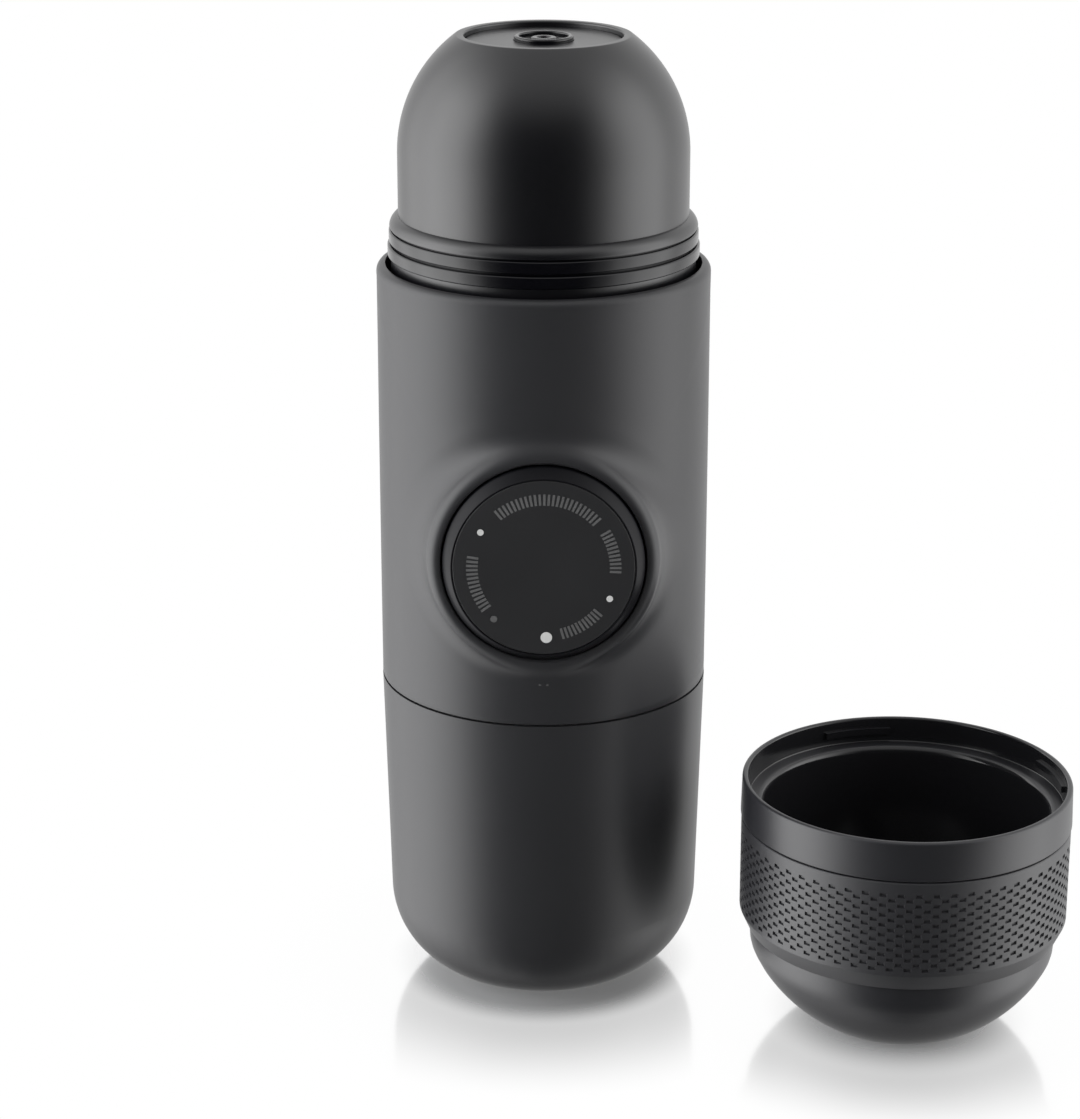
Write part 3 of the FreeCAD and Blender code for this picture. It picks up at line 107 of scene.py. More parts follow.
@dataclass
class Outline:
    """Half section of a turned piece: corners as radius, height and rounding in millimetres."""

    closed: bool = True
    corners: list[tuple[float, float, float]] = field(default_factory=list)

    def to(self, radius: float, height: float, rounding: float = 0.0) -> "Outline":
        """Add a corner."""
        self.corners.append((radius, height, rounding))
        return self

    def arc(self, centre: tuple[float, float], reach: float, start: float, end: float,
            steps: int) -> "Outline":
        """Add an arc.

        Args:
            centre: Radius and height of the arc's centre.
            reach: Radius of the arc itself.
            start: Angle at which the arc starts, in degrees above the outward direction.
            end: Angle at which it ends.
            steps: Number of chords.

        Returns:
            The outline, so that calls can be chained.
        """
        for step in range(steps + 1):
            angle = math.radians(start + (end - start) * step / steps)
            self.to(centre[0] + reach * math.cos(angle), centre[1] + reach * math.sin(angle))
        return self

    def rounded(self, index: int) -> list[Vector]:
        """Return the points that stand for one corner."""
        radius, height, rounding = self.corners[index]
        corner = Vector((radius, height))
        at_end = not self.closed and index in (0, len(self.corners) - 1)
        if rounding == 0 or at_end:
            return [corner]
        before = Vector(self.corners[index - 1][:2]) - corner
        after = Vector(self.corners[(index + 1) % len(self.corners)][:2]) - corner
        half = before.angle(after) / 2
        reach = min(rounding / math.tan(half), before.length * EDGE_SHARE,
                    after.length * EDGE_SHARE)
        fillet = reach * math.tan(half)
        inward = (before.normalized() + after.normalized()).normalized()
        middle = corner + inward * (fillet / math.sin(half))
        first = corner + before.normalized() * reach - middle
        sweep = first.angle_signed(corner + after.normalized() * reach - middle)
        steps = max(3, round(abs(math.degrees(sweep)) / CHORD_ANGLE))
        return [middle + Matrix.Rotation(-sweep * step / steps, 2) @ first
                for step in range(steps + 1)]

    def points(self) -> list[Vector]:
        """Return the whole outline as points, rounded corners included."""
        return [point for index in range(len(self.corners)) for point in self.rounded(index)]


def turn(name: str, outline: Outline, axis: TurnAxis, sides: int = 160) -> bpy.types.Object:
    """Turn an outline about an axis.

    Args:
        name: Name of the piece.
        outline: Half section; it is closed, or starts and ends on the axis.
        axis: Axis of the turning.
        sides: Number of flats round the piece.

    Returns:
        The closed, outward-facing piece.
    """
    places = [axis.point(point.x, point.y) for point in outline.points()]
    if outline.closed:
        places.append(places[0])
    bpy.ops.object.select_all(action="DESELECT")
    bpy.ops.mesh.primitive_plane_add(size=MM, location=(0, 0, 0))
    piece = bpy.context.object
    piece.name = name
    piece.data.name = name
    bpy.ops.object.mode_set(mode="EDIT")
    bpy.ops.mesh.select_mode(type="VERT")
    bpy.ops.mesh.merge(type="CENTER")
    bpy.ops.transform.translate(value=places[0])
    for start, end in zip(places, places[1:]):
        bpy.ops.mesh.extrude_vertices_move(TRANSFORM_OT_translate={"value": end - start})
    bpy.ops.mesh.select_all(action="SELECT")
    bpy.ops.mesh.remove_doubles(threshold=MERGE)
    bpy.ops.mesh.spin(steps=sides, angle=FULL_TURN, center=axis.origin, axis=axis.along)
    bpy.ops.mesh.select_all(action="SELECT")
    bpy.ops.mesh.remove_doubles(threshold=MERGE)
    bpy.ops.mesh.normals_make_consistent(inside=False)
    bpy.ops.object.mode_set(mode="OBJECT")
    return piece


def select_only(piece: bpy.types.Object) -> None:
    """Select a piece alone and make it the active one."""
    bpy.ops.object.select_all(action="DESELECT")
    piece.select_set(True)
    bpy.context.view_layer.objects.active = piece


def pick_faces(piece: bpy.types.Object, wanted: Callable[[bpy.types.MeshPolygon], bool]) -> None:
    """Select a piece's faces by a test and open it for editing.

    Args:
        piece: The piece, which is made the active object.
        wanted: Test of one face.
    """
    select_only(piece)
    bpy.context.tool_settings.mesh_select_mode = (False, False, True)
    bpy.ops.object.mode_set(mode="EDIT")
    bpy.ops.mesh.select_all(action="DESELECT")
    bpy.ops.object.mode_set(mode="OBJECT")
    for face in piece.data.polygons:
        face.select = wanted(face)
    bpy.ops.object.mode_set(mode="EDIT")


def dress(piece: bpy.types.Object, *materials: bpy.types.Material, angle: float = 40.0) -> None:
    """Give a piece its materials and shade it smooth.

    Args:
        piece: The piece.
        *materials: Its materials; a face has the first one unless its index says otherwise.
        angle: Edges sharper than this many degrees stay sharp.
    """
    for material in materials:
        piece.data.materials.append(material)
    select_only(piece)
    bpy.ops.object.shade_smooth_by_angle(angle=math.radians(angle))


def raise_lugs(piece: bpy.types.Object, axis: TurnAxis, wall_radius: float,
               heights: tuple[float, float], reach: float, count: int, angle: float) -> None:
    """Draw lugs out of a turned wall.

    Args:
        piece: Turned piece whose outline has corners at both heights.
        axis: Axis of the piece.
        wall_radius: Radius of the wall that carries the lugs.
        heights: Lower and upper height of the lugs.
        reach: Radius that the lugs' faces end at.
        count: Number of lugs.
        angle: Angle that one lug spans, in degrees.
    """
    pitch = 360.0 / count

    def on_lug(face: bpy.types.MeshPolygon) -> bool:
        """Return whether a face of the wall lies under a lug."""
        height = axis.height_of(face.center)
        if not heights[0] < height < heights[1]:
            return False
        if abs(axis.radius_of(face.center) - wall_radius) > NEAR:
            return False
        offset = face.center - axis.origin
        return math.degrees(math.atan2(offset.y, offset.x)) % pitch < angle

    pick_faces(piece, on_lug)
    scale = reach / wall_radius
    bpy.ops.mesh.extrude_region_move()
    bpy.ops.transform.resize(value=(scale, scale, 1), center_override=axis.origin)
    bpy.ops.object.mode_set(mode="OBJECT")


# ---------------------------------------------------------------- finishes
class Tree:
    """Node tree, with short calls for the nodes that finishes and studio use."""

    def __init__(self, tree: bpy.types.NodeTree) -> None:
        """Take a node tree."""
        self.tree = tree

    def feed(self, node: bpy.types.Node, inputs: Feeds) -> None:
        """Link sockets to a node's inputs, and set the plain values on theirs."""
        for key, value in inputs.items():
            if isinstance(value, bpy.types.NodeSocket):
                self.tree.links.new(value, node.inputs[key])
            else:
                node.inputs[key].default_value = value

    def add(self, kind: str, inputs: Feeds, **settings: object) -> bpy.types.Node:
        """Add a node.

        Args:
            kind: Its type, without ShaderNode in front.
            inputs: Sockets or plain values, by the name or the number of the input.
            **settings: Properties of the node, which are set before its inputs.

        Returns:
            The node.
        """
        node = self.tree.nodes.new("ShaderNode" + kind)
        for name, value in settings.items():
            setattr(node, name, value)
        self.feed(node, inputs)
        return node

    def calc(self, operation: str, *values: object) -> bpy.types.NodeSocket:
        """Return the result of an operation on sockets or plain values."""
        return self.add("Math", dict(enumerate(values)), operation=operation).outputs["Value"]

    def ease(self, value: bpy.types.NodeSocket, bounds: tuple[float, float],
             low: float, high: float) -> bpy.types.NodeSocket:
        """Return a level that goes smoothly from low to high as a value crosses its bounds."""
        inputs = {"Value": value, "From Min": bounds[0], "From Max": bounds[1],
                  "To Min": low, "To Max": high}
        return self.add("MapRange", inputs, interpolation_type="SMOOTHSTEP").outputs["Result"]

    def mix(self, *inputs: bpy.types.NodeSocket) -> bpy.types.NodeSocket:
        """Return a mix of two shaders; the factor comes first."""
        return self.add("MixShader", dict(enumerate(inputs))).outputs["Shader"]


class Group(Tree):
    """Shared node group that gives a height and a tone, both from 0 to 1."""

    def __init__(self, name: str, scales: dict[str, float]) -> None:
        """Start a group with value inputs and their defaults."""
        super().__init__(bpy.data.node_groups.new(name, "ShaderNodeTree"))
        sockets = self.tree.interface
        for scale, value in scales.items():
            made = sockets.new_socket(scale, in_out="INPUT", socket_type="NodeSocketFloat")
            made.default_value = value
        for result in ("Height", "Tone"):
            sockets.new_socket(result, in_out="OUTPUT", socket_type="NodeSocketFloat")
        self.scales = self.tree.nodes.new("NodeGroupInput").outputs
        self.place = self.add("TexCoord", {}).outputs["Object"]

    def give(self, height: bpy.types.NodeSocket, tone: bpy.types.NodeSocket) -> bpy.types.NodeTree:
        """Lead the results out of the group, and return its tree."""
        self.feed(self.tree.nodes.new("NodeGroupOutput"), {"Height": height, "Tone": tone})
        return self.tree


class Shader(Tree):
    """Node tree of a material with a Principled shader."""

    def __init__(self, name: str) -> None:
        """Start the material."""
        self.material = bpy.data.materials.new(name)
        self.material.use_nodes = True
        super().__init__(self.material.node_tree)
        self.surface = self.tree.nodes["Principled BSDF"]

    def cover(self, made: bpy.types.Node, colours: tuple[Colour, Colour],
              roughness: tuple[float, float], depth: float) -> None:
        """Lead a group's tone into colour and roughness, and its height into bumps.

        Args:
            made: The group's node.
            colours: Base colours at a tone of 0 and of 1.
            roughness: Roughness at a tone of 0 and of 1.
            depth: Depth of the bumps, in metres.
        """
        tone = made.outputs["Tone"]
        low, high = ((*colour, 1) for colour in colours)
        tint = self.add("Mix", {"Factor": tone, "A": low, "B": high}, data_type="RGBA")
        span = self.add("MapRange", {"Value": tone, "To Min": roughness[0], "To Max": roughness[1]})
        bump = self.add("Bump", {"Height": made.outputs["Height"], "Strength": 1.0,
                                 "Distance": depth})
        self.feed(self.surface, {"Base Color": tint.outputs["Result"],
                                 "Roughness": span.outputs["Result"],
                                 "Normal": bump.outputs["Normal"]})


def make_moulded_grain() -> bpy.types.NodeTree:
    """Return the grain of moulded plastic: a fine height and a slow change of tone."""
    group = Group("moulded_grain", {"Grain Scale": 2500.0, "Tone Scale": 60.0})
    fine, slow = (
        group.add("TexNoise", {"Vector": group.place, "Scale": group.scales[scale],
                               "Detail": detail}).outputs["Fac"]
        for scale, detail in (("Grain Scale", 1.5), ("Tone Scale", 3.0)))
    return group.give(fine, slow)


def make_brushing() -> bpy.types.NodeTree:
    """Return the brushing of stainless steel: fine scratches stretched along one way."""
    group = Group("brushing", {"Scratch Scale": 900.0})
    stretch = group.add("Mapping", {"Vector": group.place, "Scale": (0.05, 1.0, 1.0)})
    scratches = group.add("TexNoise", {"Vector": stretch.outputs["Vector"], "Detail": 2.0,
                                       "Scale": group.scales["Scratch Scale"]}).outputs["Fac"]
    return group.give(scratches, scratches)


@dataclass(frozen=True)
class MouldedFinish:
    """Plastic or rubber with a moulded grain."""

    name: str
    colour: Colour
    roughness: float
    spread: float = 0.03
    tone_change: float = 0.08
    grain_scale: float = 2500.0
    grain_depth: float = 4e-6
    specular: float = 0.5
    subsurface: float = 0.0

    def build(self, grain: bpy.types.NodeTree) -> bpy.types.Material:
        """Return the finish as a material.

        Args:
            grain: The shared grain group.

        Returns:
            The material.
        """
        shader = Shader(self.name)
        low, high = (tuple(channel * (1 + change) for channel in self.colour)
                     for change in (-self.tone_change, self.tone_change))
        shader.cover(shader.add("Group", {"Grain Scale": self.grain_scale}, node_tree=grain),
                     (low, high), (self.roughness - self.spread, self.roughness + self.spread),
                     self.grain_depth)
        shader.feed(shader.surface, {"Specular IOR Level": self.specular,
                                     "Subsurface Weight": self.subsurface})
        return shader.material


@dataclass(frozen=True)
class SteelFinish:
    """Brushed stainless steel."""

    name: str
    colour: Colour
    roughness: float
    spread: float = 0.06
    darkest: float = 0.9
    scratch_depth: float = 2e-6

    def build(self, brushing: bpy.types.NodeTree) -> bpy.types.Material:
        """Return the finish as a material.

        Args:
            brushing: The shared brushing group.

        Returns:
            The material.
        """
        shader = Shader(self.name)
        low = tuple(channel * self.darkest for channel in self.colour)
        shader.cover(shader.add("Group", {}, node_tree=brushing), (low, self.colour),
                     (self.roughness - self.spread, self.roughness + self.spread),
                     self.scratch_depth)
        shader.feed(shader.surface, {"Metallic": 1.0})
        return shader.material


class Slot(Enum):
    """Material slots of the record."""

    CASING = "casing"
    CUP = "cup_plastic"
    GRIP = "grip_rubber"
    GLOSS = "gloss_black"
    KNOB_FACE = "knob_face"
    INNER = "inner_plastic"
    SILICONE = "silicone"
    STEEL = "steel"


class Finishes:
    """All finishes, built once."""

    def __init__(self) -> None:
        """Build the shared groups and a material for each slot."""
        grain = make_moulded_grain()
        moulded = {
            Slot.CASING: MouldedFinish("satin_charcoal", (0.018, 0.018, 0.0195), 0.38,
                                       specular=0.4),
            Slot.CUP: MouldedFinish("satin_charcoal_cup", (0.012, 0.012, 0.014), 0.38,
                                    specular=0.6),
            Slot.GRIP: MouldedFinish("grip_rubber", (0.015, 0.015, 0.017), 0.45, specular=0.7,
                                     grain_depth=8e-6),
            Slot.GLOSS: MouldedFinish("gloss_black", (0.005, 0.005, 0.006), 0.3, specular=0.1,
                                      grain_depth=5e-7),
            Slot.KNOB_FACE: MouldedFinish("matt_black", (0.013, 0.013, 0.014), 0.5,
                                          grain_scale=3500.0, grain_depth=8e-6),
            Slot.INNER: MouldedFinish("moulded_black", (0.02, 0.02, 0.02), 0.5),
            Slot.SILICONE: MouldedFinish("pale_silicone", (0.55, 0.55, 0.52), 0.45,
                                         subsurface=0.2),
        }
        self.by_slot = {slot: finish.build(grain) for slot, finish in moulded.items()}
        steel = SteelFinish("brushed_steel", (0.6, 0.6, 0.6), 0.3)
        self.by_slot[Slot.STEEL] = steel.build(make_brushing())
        self.dome = MouldedFinish("satin_black", (0.004, 0.004, 0.005), 0.31,
                                  specular=0.68).build(grain)
        self.white_print = MouldedFinish("white_print", (0.42, 0.42, 0.41), 0.6).build(grain)
        self.grey_print = MouldedFinish("grey_print", (0.07, 0.07, 0.07), 0.6,
                                        tone_change=0.25).build(grain)
        self.rings = MouldedFinish("ring_black", (0.002, 0.002, 0.003), 0.2, specular=0.45,
                                   grain_depth=5e-7).build(grain)
        self.cup_inside = MouldedFinish("cup_inside_black", (0.009, 0.009, 0.01), 0.15,
                                        grain_depth=5e-7).build(grain)

    def dress_nodes(self) -> None:
        """Give every CAD node the finish of its slot."""
        for part in frame["record"]["subparts"]:
            mesh = frame["nodes"][part["node"]].data
            mesh.materials.clear()
            mesh.materials.append(self.by_slot[Slot(part["material_slot"])])
            log.info("dressed %s", part["node"])


def settle(piece: bpy.types.Object, body: str, slot: Slot, *replaced: str) -> None:
    """Tie a new piece to its body, and let it stand for CAD nodes."""
    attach(piece, body)
    if replaced:
        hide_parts(*replaced)
    log.info("made %s on %s", piece.name, body)


# ---------------------------------------------------------------- barrel
class Skin:
    """Quad mesh that is put together from chains of places."""

    def __init__(self) -> None:
        """Start with nothing."""
        self.places: list[Vector] = []
        self.faces: list[tuple[int, int, int, int]] = []

    def chain(self, places: list[Vector]) -> list[int]:
        """Add a chain of places in millimetres and return their numbers."""
        start = len(self.places)
        self.places += [place * MM for place in places]
        return list(range(start, len(self.places)))

    def join(self, first: list[int], second: list[int], closed: bool = True) -> None:
        """Fill the strip between two chains of equal length."""
        for step in range(len(first) if closed else len(first) - 1):
            after = (step + 1) % len(first)
            self.faces.append((first[step], first[after], second[after], second[step]))

    def finish(self, name: str) -> bpy.types.Object:
        """Return the mesh as a piece whose faces look outward."""
        mesh = bpy.data.meshes.new(name)
        mesh.from_pydata(self.places, [], self.faces)
        piece = bpy.data.objects.new(name, mesh)
        bpy.context.scene.collection.objects.link(piece)
        pick_faces(piece, lambda face: True)
        bpy.ops.mesh.remove_doubles(threshold=MERGE)
        bpy.ops.mesh.normals_make_consistent(inside=False)
        bpy.ops.object.mode_set(mode="OBJECT")
        return piece


@dataclass
class Barrel:
    """Barrel whose wall flows into the boss round the knob.

    The blend of the two has no axis to turn it about, so its places are worked out from how far
    a point is from the barrel and from the boss.
    """

    outer: float = 29.75
    bore: float = 28.2
    bottom: float = 59.05
    top: float = 136.1
    rim_round: float = 1.4
    foot_round: float = 0.25
    foot_cut: float = 0.3
    boss_face: float = 31.4
    boss_front_r: float = 20.0
    boss_slope: float = 2.0 / 11.9
    boss_round: float = 1.7
    blend: float = 3.4
    lip_r: float = 17.9
    lip_round: float = 0.3
    lip_curve: tuple[tuple[float, float], ...] = ((0.0, 1.0), (0.12, 0.5), (0.45, 0.15))
    seat_r: float = 19.35
    seat_at: float = 28.25
    blend_reach: float = 26.0
    sides: int = 192
    blend_rings: int = 40
    wall_rings: int = 8
    back_steps: int = 64
    eye: tuple[float, float] = (14.0, 22.0)
    farthest: float = 30.0
    halvings: int = 34
    pointer_drop: float = 22.6
    pointer_gap: float = 1.3
    pointer_size: tuple[float, float] = (0.4, 1.3)

    def distance(self, turned: float, reach: float, ahead: float) -> float:
        """Return how far a point is outside the barrel and its boss.

        Args:
            turned: Angle round the pump axis, in radians.
            reach: Distance from the pump axis.
            ahead: Distance in front of the maker's axis.

        Returns:
            The distance, below zero inside.
        """
        from_wall = math.hypot(reach * math.cos(turned), ahead) - self.outer
        beside = reach - self.boss_front_r - (self.boss_face - ahead) * self.boss_slope
        beside += self.boss_round
        before = ahead - self.boss_face + self.boss_round
        from_boss = min(max(beside, before), 0.0) - self.boss_round
        from_boss += math.hypot(max(beside, 0.0), max(before, 0.0))
        share = max(self.blend - abs(from_wall - from_boss), 0.0) / self.blend
        return min(from_wall, from_boss) - share * share * self.blend / 4

    def surface(self, turned: float, tilt: float) -> tuple[float, float]:
        """Return where a ray from inside the boss leaves it, as reach and distance ahead."""
        near, far = 0.0, self.farthest
        for _ in range(self.halvings):
            middle = (near + far) / 2
            reach = self.eye[0] + middle * math.sin(tilt)
            ahead = self.eye[1] + middle * math.cos(tilt)
            if self.distance(turned, reach, ahead) < 0:
                near = middle
            else:
                far = middle
        return reach, ahead

    def place(self, turned: float, reach: float, ahead: float) -> Vector:
        """Return a place round the pump axis."""
        height = PUMP_AXIS.origin.z / MM + reach * math.sin(turned)
        return Vector((reach * math.cos(turned), -ahead, height))

    def ahead(self, turned: float, reach: float, radius: float) -> float:
        """Return how far ahead a wall of a radius lies at a reach from the pump axis."""
        return math.sqrt(radius ** 2 - (reach * math.cos(turned)) ** 2)

    def blend_chains(self, skin: Skin) -> list[list[int]]:
        """Build the seat, the lip and the blend, and return their chains from the rear."""
        angles = [FULL_TURN * step / self.sides for step in range(self.sides)]
        chains = [[self.place(a, self.seat_r, self.ahead(a, self.seat_r, self.bore))
                   for a in angles]]
        lip = [(self.seat_r, self.seat_at), (self.lip_r, self.seat_at)]
        lip += [(self.lip_r + self.lip_round * out, self.boss_face - self.lip_round * back)
                for out, back in self.lip_curve]
        chains += [[self.place(a, *corner) for a in angles] for corner in lip]
        crown = self.lip_r + self.lip_round
        first = math.atan2(crown - self.eye[0], self.boss_face - self.eye[1])
        for ring in range(self.blend_rings):
            chain = []
            for a in angles:
                end = self.ahead(a, self.blend_reach, self.outer)
                last = math.atan2(self.blend_reach - self.eye[0], end - self.eye[1])
                tilt = first + (last - first) * ring / self.blend_rings
                chain.append(self.place(a, *self.surface(a, tilt)))
            chains.append(chain)
        chains.append([self.place(a, self.blend_reach, self.ahead(a, self.blend_reach, self.outer))
                       for a in angles])
        numbers = [skin.chain(chain) for chain in chains]
        for before, after in zip(numbers, numbers[1:]):
            skin.join(before, after)
        return numbers

    def limits(self) -> tuple[float, float]:
        """Return how far the wall runs above and below the pump axis."""
        middle = PUMP_AXIS.origin.z / MM
        return self.top - self.rim_round - middle, self.bottom + self.foot_round - middle

    def ends(self) -> list[tuple[float, float]]:
        """Return where each line out of the boss ends, as angle and rise, corners included."""
        side = math.pi / 2
        high, low = self.limits()
        found = []
        for step in range(self.sides):
            turned = FULL_TURN * step / self.sides
            angle = math.asin(self.blend_reach * math.cos(turned) / self.outer)
            rise = self.blend_reach * math.sin(turned)
            share = max(abs(angle) / side, rise / (high if rise > 0 else low))
            found.append((angle / share, rise / share))
        for corner in ((-side, low), (-side, high), (side, low), (side, high)):
            near = min(range(self.sides), key=lambda i: math.hypot(
                (found[i][0] - corner[0]) * self.outer, found[i][1] - corner[1]))
            found[near] = corner
        return found

    def wall(self, skin: Skin, radius: float, first: list[int]) -> tuple[list[int], list[int]]:
        """Build one side of the wall, from a chain round the boss to the rims.

        Args:
            skin: Mesh that the wall goes into.
            radius: Radius of the wall.
            first: Chain round the boss that the wall starts from.

        Returns:
            The chains at the top and at the bottom, both from the left side round the front.
        """
        middle = PUMP_AXIS.origin.z / MM
        high, low = self.limits()
        side = math.pi / 2
        starts = []
        for number in first:
            place = skin.places[number] / MM
            starts.append((math.atan2(place.x, -place.y), place.z - middle))
        ends = self.ends()

        def on_wall(angle: float, rise: float) -> Vector:
            """Return a place on the wall."""
            return Vector((radius * math.sin(angle), -radius * math.cos(angle), middle + rise))

        before = first
        for ring in range(1, self.wall_rings + 1):
            share = ring / self.wall_rings
            after = skin.chain([on_wall(a + (b - a) * share, c + (d - c) * share)
                                for (a, c), (b, d) in zip(starts, ends)])
            skin.join(before, after)
            before = after

        def along(test: Callable[[float, float], bool], key: int) -> list[int]:
            """Return the numbers of the last chain that pass a test, in order."""
            found = [i for i in range(self.sides) if test(*ends[i])]
            return [before[i] for i in sorted(found, key=lambda i: ends[i][key])]

        left = along(lambda angle, rise: abs(angle + side) < MERGE, 1)
        right = along(lambda angle, rise: abs(angle - side) < MERGE, 1)
        rises = [skin.places[number].z / MM - middle for number in right]
        columns = [right]
        for step in range(1, self.back_steps):
            angle = side + math.pi * step / self.back_steps
            columns.append(skin.chain([on_wall(angle, rise) for rise in rises]))
        columns.append(left)
        for one, other in zip(columns, columns[1:]):
            skin.join(one, other, closed=False)
        top = along(lambda angle, rise: abs(rise - high) < MERGE, 0)
        foot = along(lambda angle, rise: abs(rise - low) < MERGE, 0)
        top += [column[-1] for column in columns[1:-1]]
        foot += [column[0] for column in columns[1:-1]]
        return top, foot

    def rim(self, skin: Skin, start: list[int], end: list[int],
            outline: list[tuple[float, float]]) -> None:
        """Join the outer wall to the inner one over a rim."""
        angles = [math.atan2(skin.places[number].x, -skin.places[number].y) for number in start]
        before = start
        for radius, height in outline:
            after = skin.chain([Vector((radius * math.sin(a), -radius * math.cos(a), height))
                                for a in angles])
            skin.join(before, after)
            before = after
        skin.join(before, end)

    def build(self, finishes: Finishes) -> None:
        """Build and dress the barrel."""
        skin = Skin()
        chains = self.blend_chains(skin)
        outer_top, outer_foot = self.wall(skin, self.outer, chains[-1])
        inner_top, inner_foot = self.wall(skin, self.bore, chains[0])
        over = [(self.outer - self.rim_round * (1 - math.cos(math.radians(a))),
                 self.top - self.rim_round * (1 - math.sin(math.radians(a))))
                for a in range(CHORD_ANGLE, 91, CHORD_ANGLE)]
        self.rim(skin, outer_top, inner_top, [*over, (self.bore, self.top)])
        cut = self.foot_round * self.foot_cut
        under = [(self.outer - cut, self.bottom + cut),
                 (self.outer - self.foot_round, self.bottom), (self.bore, self.bottom)]
        self.rim(skin, outer_foot, inner_foot, under)
        piece = skin.finish("barrel_shell")
        dress(piece, finishes.by_slot[Slot.CASING])
        settle(piece, "main_body", Slot.CASING, "body_shell")

    def build_pointer(self, finishes: Finishes) -> None:
        """Build the pair of printed ticks under the knob."""
        height = PUMP_AXIS.origin.z / MM - self.pointer_drop
        marks = []
        for side in (-0.5, 0.5):
            across = side * self.pointer_gap
            place = Vector((across, -math.sqrt(self.outer ** 2 - across ** 2), height))
            marks.append(print_mark(place * MM, self.pointer_size))
        piece = join_marks("pointer_ticks", marks, finishes.grey_print)
        settle(piece, "main_body", Slot.CASING)


# ---------------------------------------------------------------- printed marks
def print_mark(place: Vector, size: tuple[float, float], turned: float = 0.0,
               corners: int = BAR_CORNERS) -> bpy.types.Object:
    """Build one thin printed mark that faces forward.

    Args:
        place: Its middle, in metres.
        size: Width and height in millimetres.
        turned: Angle that it is turned by about the forward direction, in degrees.
        corners: Number of its corners; four give a bar and more give a dot.

    Returns:
        The mark, a closed plate.
    """
    is_bar = corners == BAR_CORNERS
    bpy.ops.object.select_all(action="DESELECT")
    bpy.ops.mesh.primitive_circle_add(
        vertices=corners, radius=MM / (math.sqrt(2) if is_bar else 2), fill_type="NGON",
        location=place, rotation=(math.pi / 2, 0, 0))
    mark = bpy.context.object
    bpy.ops.object.mode_set(mode="EDIT")
    bpy.ops.mesh.select_all(action="SELECT")
    bpy.ops.mesh.extrude_region_move(TRANSFORM_OT_translate={"value": (0, -PRINT_HEIGHT * MM, 0)})
    bpy.ops.mesh.select_all(action="SELECT")
    bpy.ops.mesh.normals_make_consistent(inside=False)
    bpy.ops.object.mode_set(mode="OBJECT")
    square_up = Matrix.Rotation(math.pi / 4 if is_bar else 0.0, 2)
    turn_by = Matrix.Rotation(math.radians(turned), 2)
    for vertex in mark.data.vertices:
        across, up = square_up @ vertex.co.xy
        vertex.co.xy = turn_by @ Vector((across * size[0], up * size[1]))
    bpy.ops.object.transform_apply(location=True, rotation=True, scale=True)
    return mark


def join_marks(name: str, marks: list[bpy.types.Object],
               material: bpy.types.Material) -> bpy.types.Object:
    """Join marks into one piece and dress it."""
    bpy.ops.object.select_all(action="DESELECT")
    for mark in marks:
        mark.select_set(True)
    bpy.context.view_layer.objects.active = marks[0]
    bpy.ops.object.join()
    piece = bpy.context.object
    bpy.ops.object.transform_apply(location=True, rotation=True, scale=True)
    piece.name = name
    piece.data.name = name
    piece.data.materials.clear()
    piece.data.materials.append(material)
    return piece


